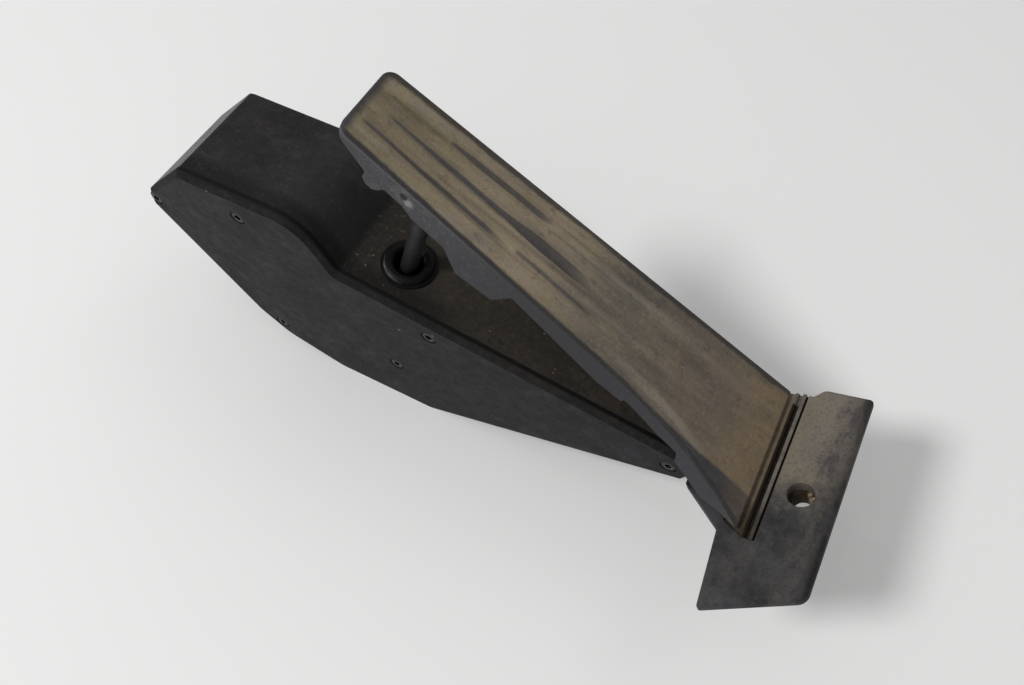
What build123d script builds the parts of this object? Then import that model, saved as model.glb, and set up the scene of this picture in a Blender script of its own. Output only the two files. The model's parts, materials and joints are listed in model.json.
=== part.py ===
from build123d import *
from math import atan2, cos, degrees, hypot, radians, sin, sqrt, tan
import os

# Floor-hinged accelerator pedal module, lying on the flat of its housing.
# Side view places are x and z in millimetres from the front edge of that flat,
# and y runs from the outer face of the side cover across the housing.

# Housing moulding and its side cover
housing_width = 50.0
housing_height = 102.0
housing_wall = 2.5
cover_thickness = 3.5
cover_chamfer = 2.2
rest_length = 47.7
heel_angle = 21.4
tail_x = 163.0
nose_x = -80.0
nose_low_z = 76.0
nose_high_z = 78.8
nose_slope = 44.3
keel_front_x = -40.6
keel_front_z = 19.0
keel_rear_x = -27.8
keel_rear_z = 8.5
step_top_x = 0.0
step_foot_x = 12.0
step_foot_z = 79.5
face_slope = 7.8
nose_radius = 3.0
keel_radius = 14.0
belly_radius = 8.0
tail_radius = 3.0
flange_far_radius = 1.0
step_foot_radius = 3.0
step_top_radius = 20.0
brow_radius = 3.0
body_edge = 1.2

# Cover screws and the bosses that take them
screw_head_r = 3.1
screw_head_height = 1.8
screw_shank_r = 1.5
screw_length = 10.0
screw_recess_depth = 1.9
screw_socket_r = 1.7
screw_socket_depth = 1.1
screw_socket_sides = 6
screw_clearance = 0.2
boss_r = 3.6
snug = 0.02
nose_screw_in = 4.4
nose_screw_up = 1.2
top_screw_in = 30.0
top_screw_drop = 12.0
keel_screw_in = 1.9
keel_screw_up = 7.4
rest_screw_in = 14.2
rest_screw_up = 28.3
face_screw_in = 40.7
face_screw_drop = 9.8
tail_screw_in = 8.0
tail_screw_up = 7.4

# Heel flange with its bolt hole
flange_thickness = 4.0
flange_left_s = 142.0
flange_root_s = 118.0
flange_cover_gap = 0.3
gusset_near_y = -3.0
flange_tip_s = 145.5
flange_tip_y = -45.6
flange_near_y = -30.8
flange_right_s = 178.0
flange_far_y = 51.0
flange_notch_s = 156.6
flange_notch_y = 46.2
flange_corner_radius = 5.0
flange_tip_radius = 1.0
flange_edge_round = 2.2
bolt_s = 165.4
bolt_y = 5.0
sleeve_outer_r = 4.75
sleeve_inner_r = 3.5
sleeve_setback = 5.0
bolt_boss_r = 7.6
bolt_boss_depth = 8.0

# Hinge let into the flange
hinge_s = 151.75
hinge_sink = 0.8
hinge_near_y = -16.8
bead_r = 0.9
bead_clearance = 0.3
strip_depth = 2.2
strip_base = 1.2
strip_front = 8.0
lip_start = 2.3
lip_width = 1.3
lip_rise = 0.5
lip_slot = 0.7

# Pedal plate
plate_angle = 28.0
plate_length = 191.2
plate_skin = 2.8
plate_top_near_y = 14.0
plate_bend_s = 69.0
plate_bend_y = 3.9
plate_foot_near_y = -16.0
plate_far_y = 45.6
plate_corner_radius = 4.5
plate_edge_round = 1.0
skirt_wall = 2.4
skirt_depth = 7.8
skirt_top_depth = 3.5
skirt_foot_depth = 5.6
skirt_radius = 1.0
tail_clear_s = 42.0
foot_relief_angle = 29.0
lobe_s = 172.9
lobe_half = 3.5
lobe_tip_half = 1.4
lobe_depth = 15.6
lobe_cheek_depth = 13.4
lobe_root_depth = 9.8
saddle_depth = 10.5
saddle_end_s = 160.0
throat_s = 155.0
throat_depth = 12.9
tongue_start_s = 116.0
tongue_end_s = 140.5
tongue_depth = 20.8
tongue_rise = 2.6
tongue_tip_run = 15.5
fin_start_s = 58.5
fin_peak_s = 69.0
fin_end_s = 112.0
fin_depth = 11.9
fin_rise = 1.6
flap_start_s = 15.0
flap_end_s = 33.0
flap_depth = 10.0
groove_width = 4.2
groove_depth = 0.7
groove_top_s = 184.5
groove_ends = ((23.3, 106.0, 15.8), (30.0, 66.0, 24.4), (38.9, 92.0, 36.0))
rib_depth = 5.5
rib_wall = 1.8
rib_spacing = 26.0
rib_count = 5
rib_first_s = 36.0

# Push rod, its socket and the grommet it passes through
rod_y = 19.5
rod_s = 154.5
rod_tilt = 16.0
rod_length = 80.0
rod_r = 3.5
ball_r = 4.5
neck_r = 2.8
neck_length = 9.0
socket_r = 6.0
socket_roof = 1.9
socket_depth = 9.6
socket_wall = 1.7
ball_clearance = 0.1
socket_mouth_r = 4.2
grommet_outer_r = 11.3
grommet_hole_r = 6.0
grommet_neck_r = 8.4
grommet_bead_r = 10.0
grommet_lip_height = 3.0
grommet_rim_height = 0.8
grommet_under_r = 9.6
grommet_under_height = 1.6

# Lever inside the housing
pivot_x = -32.0
pivot_z = 38.0
hub_r = 9.0
lever_width = 13.0
arm_width = 8.0
arm_rise = 5.0
arm_drop = 7.0
pad_back = 7.0
pad_front = 3.0
pad_thickness = 3.6
pad_gap = 0.3
channel_wall = 1.5
channel_clearance = 0.6
channel_height = 3.0
shaft_r = 3.0
running_clearance = 0.03
bush_r = 4.5
bush_length = 7.0
bush_boss_r = 7.2
side_gap = 0.5

# Return springs
spring_reach = 38.5
spring_seat_z = 5.0
spring_seat_r = 9.6
spring_seat_inset = 0.8
spring_gap = 0.3
outer_spring_r = 7.6
outer_wire = 1.6
outer_turns = 4.0
inner_spring_r = 4.6
inner_wire = 1.2
inner_turns = 4.0

# Friction shoe and idle stop
shoe_thickness = 3.0
shoe_gap = 0.2
shoe_rib = 2.4
shoe_from = 165.0
shoe_span = 70.0
stop_reach = 22.0
stop_length = 9.0
stop_thickness = 3.0
stop_rib = 3.0
stop_gap = 0.3

# Position sensor and connector
rotor_r = 11.5
rotor_thickness = 3.2
magnet_size = 4.0
magnet_depth = 1.8
magnet_ring_r = 8.6
magnet_spread = 24.0
board_left_x = -52.0
board_right_x = -18.0
board_over_pivot = 8.4
board_over_plug = 2.5
board_thickness = 1.6
sensor_gap = 0.8
hall_width = 5.0
hall_height = 4.0
hall_thickness = 1.2
hall_rise = 2.4
hall_spread = 9.0
hall_count = 2
board_post_r = 3.0
board_post_gap = 0.8
board_post_drop = 16.0
board_screw_r = 1.2
board_screw_length = 8.0
board_head_r = 2.4
board_head_height = 1.5
plug_x = -36.0
plug_drop = 26.0
plug_width = 22.0
plug_height = 11.0
plug_wall = 2.0
plug_back = 2.0
plug_gap = 0.6
pin_size = 1.0
pin_pitch_x = 5.0
pin_pitch_z = 4.0
pin_columns = 3
pin_rows = 2
pin_tip_setback = 5.5

# Places worked out from the sizes above
heel_cos = cos(radians(heel_angle))
heel_sin = sin(radians(heel_angle))
plate_cos = cos(radians(plate_angle))
plate_sin = sin(radians(plate_angle))
tilt_cos = cos(radians(rod_tilt))
tilt_sin = sin(radians(rod_tilt))
far_wall_y = housing_width - housing_wall
centre_x = (nose_x + rest_length + flange_right_s * heel_cos) / 2
tip_left = atan2(plate_foot_near_y - flange_tip_y, flange_left_s - flange_tip_s)
tip_right = atan2(flange_near_y - flange_tip_y, flange_right_s - flange_tip_s)
tip_rise = flange_tip_radius * (sin((tip_left + tip_right) / 2) / sin((tip_left - tip_right) / 2) - 1)
centre_y = (flange_tip_y + tip_rise + flange_far_y) / 2


def heel_z(x):
    """Height of the rising underside of the heel at x."""
    return (x - rest_length) * tan(radians(heel_angle))


def face_z(x):
    """Height of the sloping lower face under the pedal at x."""
    return step_foot_z - (x - step_foot_x) * tan(radians(face_slope))


def placed(x, y, z):
    """A side-view place as a point of the part's own frame."""
    return (x - centre_x, y - centre_y, z)


def side_plane(y):
    """Plane across the housing at y, drawn in side-view x and z, facing the cover side."""
    return Plane(origin=placed(0, y, 0), x_dir=(1, 0, 0), z_dir=(0, -1, 0))


hinge_x = rest_length + hinge_s * heel_cos - (flange_thickness - hinge_sink) * heel_sin
hinge_z = hinge_s * heel_sin + (flange_thickness - hinge_sink) * heel_cos
heel_along = (heel_cos, 0, heel_sin)
heel_plane = Plane(placed(rest_length, 0, 0), x_dir=heel_along, z_dir=(-heel_sin, 0, heel_cos))
plate_along = (-plate_cos, 0, plate_sin)
pedal_top = Plane(placed(hinge_x, 0, hinge_z), x_dir=plate_along, z_dir=(plate_sin, 0, plate_cos))
pedal_mid = Plane(placed(hinge_x, housing_width / 2, hinge_z), x_dir=plate_along, z_dir=(0, 1, 0))
relief_tan = tan(radians(foot_relief_angle))
edge_turn = atan2(plate_top_near_y - plate_bend_y, plate_length - plate_bend_s)
flare_turn = atan2(plate_bend_y - plate_foot_near_y, plate_bend_s)
pocket_lean = strip_front * tan(2 * flare_turn - edge_turn)
strip_end = lip_start + lip_width + lip_slot
gusset_s = (tail_x + flange_cover_gap + flange_thickness * heel_sin - rest_length) / heel_cos

ball_depth = plate_skin + socket_roof + ball_r
ball_x = hinge_x - rod_s * plate_cos - ball_depth * plate_sin
ball_z = hinge_z + rod_s * plate_sin - ball_depth * plate_cos
foot_x = ball_x - rod_length * tilt_sin
foot_z = ball_z - rod_length * tilt_cos
rod_plane = Plane(placed(ball_x, rod_y, ball_z), x_dir=(tilt_cos, 0, -tilt_sin), z_dir=(0, -1, 0))

# The rod crosses the lower face here, and the grommet sits square to that face
face_tan = tan(radians(face_slope))
face_cos = cos(radians(face_slope))
face_sin = sin(radians(face_slope))
grommet_drop = (ball_z - face_z(ball_x)) / (tilt_cos + face_tan * tilt_sin)
grommet_x = ball_x - grommet_drop * tilt_sin
grommet_z = face_z(grommet_x)
grommet_point = placed(grommet_x, rod_y, grommet_z)
grommet_plane = Plane(grommet_point, x_dir=(face_cos, 0, -face_sin), z_dir=(face_sin, 0, face_cos))
grommet_side = Plane(grommet_point, x_dir=(face_cos, 0, -face_sin), z_dir=(0, -1, 0))

arm_angle = degrees(atan2(foot_z - pivot_z, foot_x - pivot_x))
arm_length = hypot(foot_x - pivot_x, foot_z - pivot_z)
arm_cos = cos(radians(arm_angle))
arm_sin = sin(radians(arm_angle))
lever_near_y = rod_y - lever_width / 2
lever_far_y = rod_y + lever_width / 2


def arm_plane(y):
    """Plane at y drawn along the lever arm, from the pivot out."""
    return Plane(placed(pivot_x, y, pivot_z), x_dir=(arm_cos, 0, arm_sin), z_dir=(0, -1, 0))


pad_level = -(rod_r + pad_gap)
rotor_near_y = lever_far_y
rotor_far_y = rotor_near_y + rotor_thickness
hall_near_y = rotor_far_y + sensor_gap
board_near_y = hall_near_y + hall_thickness
board_far_y = board_near_y + board_thickness
plug_inner_y = board_far_y + plug_gap
near_boss_y = lever_near_y - side_gap
far_boss_y = rotor_far_y + side_gap
shaft_near_y = near_boss_y - bush_length
shaft_far_y = far_boss_y + bush_length
spring_x = pivot_x + spring_reach * arm_cos
spring_top_z = (
    pivot_z + spring_reach * arm_sin - arm_drop / arm_cos
    - spring_seat_r * arm_sin / arm_cos - spring_gap
)

saddle_r = hub_r + shoe_gap + shoe_thickness + snug
plug_z = housing_height - plug_drop
board_low_z = pivot_z + board_over_pivot
board_high_z = plug_z + plug_height / 2 + board_over_plug
board_post_z = plug_z - board_post_drop
board_post_reach = ((hall_count - 1) * hall_spread + hall_width) / 2 + board_head_r + board_post_gap
post_points = ((pivot_x - board_post_reach, board_post_z), (pivot_x + board_post_reach, board_post_z))
face_screw_x = step_foot_x + face_screw_in
tail_screw_x = tail_x - tail_screw_in
screw_points = (
    (nose_x + nose_screw_in, nose_low_z + nose_screw_up),
    (step_top_x - top_screw_in, housing_height - top_screw_drop),
    (keel_rear_x - keel_screw_in, keel_rear_z + keel_screw_up),
    (rest_length - rest_screw_in, rest_screw_up),
    (face_screw_x, face_z(face_screw_x) - face_screw_drop),
    (tail_screw_x, heel_z(tail_screw_x) + tail_screw_up),
)


def outline():
    """Side profile of the housing, shared by the moulding and its cover."""
    slope_run = (housing_height - nose_high_z) / tan(radians(nose_slope))
    corners = [
        (nose_x, nose_low_z),
        (keel_front_x, keel_front_z),
        (keel_rear_x, keel_rear_z),
        (0, 0),
        (rest_length, 0),
        (tail_x, heel_z(tail_x)),
        (tail_x, face_z(tail_x)),
        (step_foot_x, step_foot_z),
        (step_top_x, housing_height),
        (nose_x + slope_run, housing_height),
        (nose_x, nose_high_z),
    ]
    radii = [
        0,
        keel_radius,
        keel_radius,
        belly_radius,
        belly_radius,
        0,
        tail_radius,
        step_foot_radius,
        step_top_radius,
        brow_radius,
        nose_radius,
    ]
    FilletPolyline(*corners, radius=radii, close=True)


def plate_outline():
    """Outline of the pedal plate in its own plane, with the near edge flaring to the foot."""
    top_near = (plate_length, -plate_top_near_y)
    bend = (plate_bend_s, -plate_bend_y)
    edge = Line(top_near, bend)
    flare = TangentArc(bend, (0, -plate_foot_near_y), tangent=edge % 1)
    Polyline(flare @ 1, (0, -plate_far_y), (plate_length, -plate_far_y), top_near)


def hinge_bed(margin):
    """Outline of the hinge strip on the flange, a margin larger, slanting under the flare of the tread."""
    Polyline(
        (hinge_s - strip_front - margin, flange_notch_y),
        (hinge_s - strip_front - margin, hinge_near_y + pocket_lean - margin),
        (hinge_s, hinge_near_y - margin),
        (hinge_s + strip_end + margin, hinge_near_y - margin),
        (hinge_s + strip_end + margin, flange_notch_y),
        close=True,
    )


def sector(margin):
    """Triangle from the pivot that bounds the arc of the friction shoe, a margin past it."""
    reach = (saddle_r + 2 * shoe_rib) / cos(radians(shoe_span / 2))
    spread = degrees(margin / saddle_r)
    start = radians(shoe_from - spread)
    end = radians(shoe_from + shoe_span + spread)
    Polyline(
        (pivot_x, pivot_z),
        (pivot_x + reach * cos(start), pivot_z + reach * sin(start)),
        (pivot_x + reach * cos(end), pivot_z + reach * sin(end)),
        close=True,
    )


# Housing: one moulding with its cavity open to the cover side
with BuildPart() as housing_body:
    with BuildSketch(side_plane(housing_width)):
        with BuildLine():
            outline()
        make_face()
    extrude(amount=housing_width - cover_thickness)
    far_face = housing_body.faces().sort_by(Axis.Y)[-1]
    chamfer(far_face.edges(), body_edge)
    flange_radii = [0, 0, 0, 0, flange_tip_radius, flange_corner_radius, flange_far_radius, tail_radius, 0, 0]
    with BuildSketch(heel_plane):
        with BuildLine():
            FilletPolyline(
                (flange_root_s, cover_thickness),
                (gusset_s, cover_thickness),
                (gusset_s, gusset_near_y),
                (flange_left_s, plate_foot_near_y),
                (flange_tip_s, flange_tip_y),
                (flange_right_s, flange_near_y),
                (flange_right_s, flange_far_y),
                (flange_notch_s + flange_thickness, flange_far_y),
                (flange_notch_s, flange_notch_y),
                (flange_root_s, flange_notch_y),
                radius=flange_radii,
                close=True,
            )
        make_face()
    extrude(amount=flange_thickness)
    heel_edge = housing_body.edges().filter_by(Axis.Y).sort_by(Axis.X)[-2:]
    fillet(heel_edge.sort_by(Axis.Z)[-1], flange_edge_round)
    with BuildSketch(side_plane(far_wall_y)):
        with BuildLine():
            outline()
        make_face()
        offset(amount=-housing_wall)
    extrude(amount=far_wall_y - cover_thickness, mode=Mode.SUBTRACT)
    # Screw bosses and the far bearing boss stand on the far wall
    with BuildSketch(side_plane(far_wall_y)):
        with Locations(*screw_points):
            Circle(boss_r)
    extrude(amount=far_wall_y - cover_thickness)
    with BuildSketch(side_plane(far_wall_y)):
        with Locations((pivot_x, pivot_z)):
            Circle(bush_boss_r)
    extrude(amount=far_wall_y - far_boss_y)
    with BuildSketch(side_plane(shaft_far_y)):
        with Locations((pivot_x, pivot_z)):
            Circle(bush_r + snug)
    extrude(amount=bush_length, mode=Mode.SUBTRACT)
    # Saddle for the friction shoe and ledge for the idle stop
    with BuildSketch(side_plane(far_wall_y)):
        with Locations((pivot_x, pivot_z)):
            Circle(saddle_r + shoe_rib)
            Circle(saddle_r, mode=Mode.SUBTRACT)
        with BuildLine():
            sector(shoe_rib)
        make_face(mode=Mode.INTERSECT)
    extrude(amount=far_wall_y - lever_near_y)
    with BuildSketch(arm_plane(far_wall_y)):
        with Locations((stop_reach, arm_rise + stop_gap + stop_thickness + stop_rib / 2)):
            Rectangle(stop_length, stop_rib)
    extrude(amount=far_wall_y - lever_near_y)
    # Spring seat on the floor
    with BuildSketch(Plane(placed(spring_x, rod_y, housing_wall - spring_seat_inset))):
        Circle(spring_seat_r)
    extrude(amount=spring_seat_z - housing_wall + spring_seat_inset)
    # Posts for the sensor board
    with BuildSketch(side_plane(far_wall_y)):
        with Locations(*post_points):
            Circle(board_post_r)
    extrude(amount=far_wall_y - board_far_y)
    # Socket for the plug, open on the far side
    with BuildSketch(side_plane(far_wall_y)):
        with Locations((plug_x, plug_z)):
            Rectangle(plug_width + 2 * plug_wall, plug_height + 2 * plug_wall)
    extrude(amount=far_wall_y - plug_inner_y)
    with BuildSketch(side_plane(housing_width)):
        with Locations((plug_x, plug_z)):
            RectangleRounded(plug_width, plug_height, plug_wall)
    extrude(amount=housing_width - plug_inner_y - plug_back, mode=Mode.SUBTRACT)
    with BuildSketch(side_plane(housing_width)):
        with Locations((plug_x, plug_z)):
            with GridLocations(pin_pitch_x, pin_pitch_z, pin_columns, pin_rows):
                Rectangle(pin_size + 2 * snug, pin_size + 2 * snug)
    extrude(amount=housing_width - plug_inner_y, mode=Mode.SUBTRACT)
    # Pilot holes for the screws
    with BuildSketch(side_plane(cover_thickness)):
        with Locations(*screw_points):
            Circle(screw_shank_r + snug)
    extrude(amount=-screw_length, mode=Mode.SUBTRACT)
    with BuildSketch(side_plane(board_far_y)):
        with Locations(*post_points):
            Circle(board_screw_r + snug)
    extrude(amount=-board_screw_length, mode=Mode.SUBTRACT)
    # Hole for the grommet in the lower face
    with BuildSketch(grommet_plane):
        Circle(grommet_neck_r + snug)
    extrude(amount=2 * housing_wall, both=True, mode=Mode.SUBTRACT)
    # Bolt boss with its hole, and the hinge pocket in the flange
    with BuildSketch(heel_plane):
        with Locations((bolt_s, bolt_y)):
            Circle(bolt_boss_r)
    extrude(amount=-bolt_boss_depth)
    with BuildSketch(heel_plane.offset(flange_thickness)):
        with Locations((bolt_s, bolt_y)):
            Circle(sleeve_outer_r + snug)
    extrude(amount=-(flange_thickness + bolt_boss_depth), mode=Mode.SUBTRACT)
    with BuildSketch(heel_plane.offset(flange_thickness)):
        with BuildLine():
            hinge_bed(snug)
        make_face()
    extrude(amount=-strip_depth, mode=Mode.SUBTRACT)
housing_body.part.label = "housing_body"

# Side cover with a bevelled upper rim, screw recesses and the near bearing boss
with BuildPart() as side_cover:
    with BuildSketch(side_plane(cover_thickness)):
        with BuildLine():
            outline()
        make_face()
    extrude(amount=cover_thickness)
    rim = side_cover.faces().sort_by(Axis.Y)[0].edges()
    chamfer(rim.filter_by_position(Axis.Z, face_z(tail_x) + tail_radius, housing_height), cover_chamfer)
    with BuildSketch(side_plane(cover_thickness)):
        with Locations((pivot_x, pivot_z)):
            Circle(bush_boss_r)
    extrude(amount=cover_thickness - near_boss_y)
    with BuildSketch(side_plane(near_boss_y)):
        with Locations((pivot_x, pivot_z)):
            Circle(bush_r + snug)
    extrude(amount=bush_length, mode=Mode.SUBTRACT)
    with BuildSketch(side_plane(0)):
        with Locations(*screw_points):
            Circle(screw_head_r + screw_clearance)
    extrude(amount=-screw_recess_depth, mode=Mode.SUBTRACT)
    with BuildSketch(side_plane(0)):
        with Locations(*screw_points):
            Circle(screw_shank_r + screw_clearance)
    extrude(amount=-cover_thickness, mode=Mode.SUBTRACT)
side_cover.part.label = "side_cover"

# Six equal pan-head screws
with BuildPart() as cover_screws:
    with BuildSketch(side_plane(screw_recess_depth)):
        with Locations(*screw_points):
            Circle(screw_head_r)
    extrude(amount=screw_head_height)
    with BuildSketch(side_plane(screw_recess_depth)):
        with Locations(*screw_points):
            Circle(screw_shank_r)
    extrude(amount=-(cover_thickness - screw_recess_depth + screw_length))
    with BuildSketch(side_plane(screw_recess_depth - screw_head_height)):
        with Locations(*screw_points):
            RegularPolygon(screw_socket_r, screw_socket_sides)
    extrude(amount=-screw_socket_depth, mode=Mode.SUBTRACT)
cover_screws.part.label = "cover_screws"

# Steel sleeve pressed into the bolt hole of the heel flange
with BuildPart() as heel_sleeve:
    with BuildSketch(heel_plane.offset(-bolt_boss_depth)):
        with Locations((bolt_s, bolt_y)):
            Circle(sleeve_outer_r)
            Circle(sleeve_inner_r, mode=Mode.SUBTRACT)
    extrude(amount=bolt_boss_depth + flange_thickness - sleeve_setback)
heel_sleeve.part.label = "heel_sleeve"

# Hinge strip let into the flange, with the fold bead and a raised lip behind it
with BuildPart() as hinge_strip:
    strip_side = Plane(
        heel_plane.offset(flange_thickness - strip_depth).from_local_coords((hinge_s, flange_notch_y, 0)),
        x_dir=heel_along,
        z_dir=(0, -1, 0),
    )
    with BuildSketch(strip_side):
        with BuildLine():
            Polyline(
                (-strip_front, 0),
                (strip_end, 0),
                (strip_end, strip_base),
                (lip_start + lip_width, strip_base),
                (lip_start + lip_width, strip_depth + lip_rise),
                (lip_start, strip_depth + lip_rise),
                (lip_start, strip_base),
                (-strip_front, strip_base),
                close=True,
            )
        make_face()
        with Locations((0, strip_depth - hinge_sink)):
            Circle(bead_r)
    extrude(amount=flange_notch_y - hinge_near_y)
    with BuildSketch(heel_plane):
        with BuildLine():
            hinge_bed(0)
        make_face()
    extrude(amount=2 * flange_thickness, mode=Mode.INTERSECT)
hinge_strip.part.label = "hinge_strip"

# Pedal plate: a thin skin on side skirts, ribbed underneath
with BuildPart() as pedal_plate:
    tread_corners = [(0, 0), (plate_length, 0), (plate_length, -skirt_top_depth)]
    skirt_corners = [
        (lobe_s + lobe_half, -lobe_root_depth),
        (lobe_s + lobe_half, -lobe_cheek_depth),
        (lobe_s + lobe_tip_half, -lobe_depth),
        (lobe_s - lobe_tip_half, -lobe_depth),
        (lobe_s - lobe_half, -lobe_cheek_depth),
        (lobe_s - lobe_half - lobe_tip_half, -saddle_depth),
        (saddle_end_s, -saddle_depth),
        (throat_s, -throat_depth),
        (tongue_end_s, -throat_depth),
        (tongue_start_s + tongue_tip_run, -tongue_depth),
        (tongue_start_s, -tongue_depth + tongue_rise),
        (fin_end_s, -skirt_depth),
        (fin_peak_s, -fin_depth),
        (fin_start_s, -fin_depth + fin_rise),
        (fin_start_s, -skirt_depth),
        (tail_clear_s, -skirt_depth),
        (flap_end_s, -skirt_foot_depth),
        (flap_end_s - skirt_foot_depth / 2, -flap_depth),
        (flap_start_s, -flap_depth),
        (skirt_foot_depth / relief_tan, -skirt_foot_depth),
    ]
    near_radii = [0] * len(tread_corners) + [skirt_radius] * len(skirt_corners)
    with BuildSketch(pedal_mid):
        with BuildLine():
            FilletPolyline(*tread_corners, *skirt_corners, radius=near_radii, close=True)
        make_face()
    extrude(amount=-2 * housing_width)
    with BuildSketch(pedal_mid):
        with BuildLine():
            Polyline(
                *tread_corners,
                (lobe_s, -skirt_depth),
                (tail_clear_s, -skirt_depth),
                (flap_end_s, -skirt_foot_depth),
                (skirt_foot_depth / relief_tan, -skirt_foot_depth),
                close=True,
            )
        make_face()
    extrude(amount=2 * housing_width)
    with BuildSketch(pedal_top) as plate_sketch:
        with BuildLine():
            plate_outline()
        make_face()
        fillet(plate_sketch.vertices().sort_by(Axis.X)[-2:], plate_corner_radius)
    extrude(amount=-tongue_depth, mode=Mode.INTERSECT)
    tread_face = pedal_plate.faces().sort_by(Axis(pedal_top.origin, pedal_top.z_dir))[-1]
    tread_edges = tread_face.edges().sort_by(Axis(pedal_top.origin, pedal_top.x_dir))
    fillet(tread_edges[1:], plate_edge_round)
    with BuildSketch(pedal_top.offset(-plate_skin)) as hollow:
        with BuildLine():
            plate_outline()
        make_face()
        fillet(hollow.vertices().sort_by(Axis.X)[-2:], plate_corner_radius)
        offset(amount=-skirt_wall)
    extrude(amount=-tongue_depth, mode=Mode.SUBTRACT)
    # Ribs across the underside and the ring that holds the rod socket
    with BuildSketch(pedal_top) as ribs:
        with BuildLine():
            plate_outline()
        make_face()
        offset(amount=-skirt_wall / 2)
        with Locations((rib_first_s, 0)):
            with GridLocations(rib_spacing, 0, rib_count, 1, align=(Align.MIN, Align.CENTER)):
                Rectangle(rib_wall, 2 * housing_width, mode=Mode.INTERSECT)
    extrude(amount=-rib_depth)
    with BuildSketch(pedal_top):
        with Locations((rod_s, -rod_y)):
            Circle(socket_r + snug + socket_wall)
    extrude(amount=-(plate_skin + socket_depth))
    with BuildSketch(pedal_top.offset(-plate_skin)):
        with Locations((rod_s, -rod_y)):
            Circle(socket_r + snug)
    extrude(amount=-tongue_depth, mode=Mode.SUBTRACT)
    # Soft valleys between the raised bands of the tread, running out at both ends
    groove_lift = (groove_width**2 / 4 - groove_depth**2) / (2 * groove_depth)
    for top_y, end_s, end_y in groove_ends:
        groove_top = pedal_top.from_local_coords((groove_top_s, -top_y, groove_lift))
        groove_foot = pedal_top.from_local_coords((end_s, -end_y, groove_lift))
        groove_run = groove_foot - groove_top
        groove_plane = Plane(groove_top, x_dir=groove_run, z_dir=groove_run.cross(pedal_top.z_dir))
        with BuildSketch(groove_plane):
            with BuildLine():
                valley = ThreePointArc(
                    (0, -groove_lift),
                    (groove_run.length / 2, -groove_lift - groove_depth),
                    (groove_run.length, -groove_lift),
                )
                Polyline(valley @ 1, (groove_run.length, 0), (0, 0), valley @ 0)
            make_face()
        revolve(axis=Axis(groove_plane.origin, groove_plane.x_dir), mode=Mode.SUBTRACT)
    # The foot edge wraps the fold bead with a running gap
    with BuildSketch(pedal_mid):
        Circle(bead_r + bead_clearance)
    extrude(amount=2 * housing_width, both=True, mode=Mode.SUBTRACT)
pedal_plate.part.label = "pedal_plate"

# Snap-in socket for the ball of the push rod
with BuildPart() as rod_socket:
    with BuildSketch(pedal_top.offset(-plate_skin)):
        with Locations((rod_s, -rod_y)):
            Circle(socket_r)
    extrude(amount=-socket_depth)
    with BuildSketch(pedal_top.offset(-ball_depth)):
        with Locations((rod_s, -rod_y)):
            Circle(socket_mouth_r)
    extrude(amount=-socket_depth, mode=Mode.SUBTRACT)
    with Locations(Location(placed(ball_x, rod_y, ball_z))):
        Sphere(ball_r + ball_clearance, mode=Mode.SUBTRACT)
rod_socket.part.label = "rod_socket"

# Push rod: a ball at the pedal, a waisted neck, a plain shank and a round foot
with BuildPart() as push_rod:
    with BuildSketch(rod_plane):
        with BuildLine():
            neck_drop = sqrt(ball_r**2 - neck_r**2)
            ball_arc = ThreePointArc((0, ball_r), (ball_r, 0), (neck_r, -neck_drop))
            shank = Polyline(
                ball_arc @ 1,
                (neck_r, -neck_length),
                (rod_r, -neck_length - rod_r),
                (rod_r, -rod_length),
            )
            foot_side = (rod_r / sqrt(2), -rod_length - rod_r / sqrt(2))
            foot_arc = ThreePointArc(shank @ 1, foot_side, (0, -rod_length - rod_r))
            Line(foot_arc @ 1, (0, ball_r))
        make_face()
    revolve(axis=Axis(rod_plane.origin, rod_plane.y_dir))
push_rod.part.label = "push_rod"

# Rubber grommet in the lower face, with a round lip outside and a snap lip inside
with BuildPart() as rod_grommet:
    lip_mid_r = (grommet_bead_r + grommet_hole_r) / 2
    under_level = -housing_wall - snug
    with BuildSketch(grommet_side):
        with BuildLine():
            crown = (lip_mid_r, grommet_lip_height)
            bead_foot = (grommet_bead_r, grommet_rim_height)
            lip_arc = ThreePointArc(bead_foot, crown, (grommet_hole_r, grommet_rim_height))
            Polyline(
                lip_arc @ 1,
                (grommet_hole_r, under_level - grommet_under_height),
                (grommet_neck_r, under_level - grommet_under_height),
                (grommet_under_r, under_level),
                (grommet_neck_r, under_level),
                (grommet_neck_r, 0),
                (grommet_outer_r, 0),
                (grommet_outer_r, grommet_rim_height),
                lip_arc @ 0,
            )
        make_face()
    revolve(axis=Axis(grommet_side.origin, grommet_side.y_dir))
rod_grommet.part.label = "rod_grommet"

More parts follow.
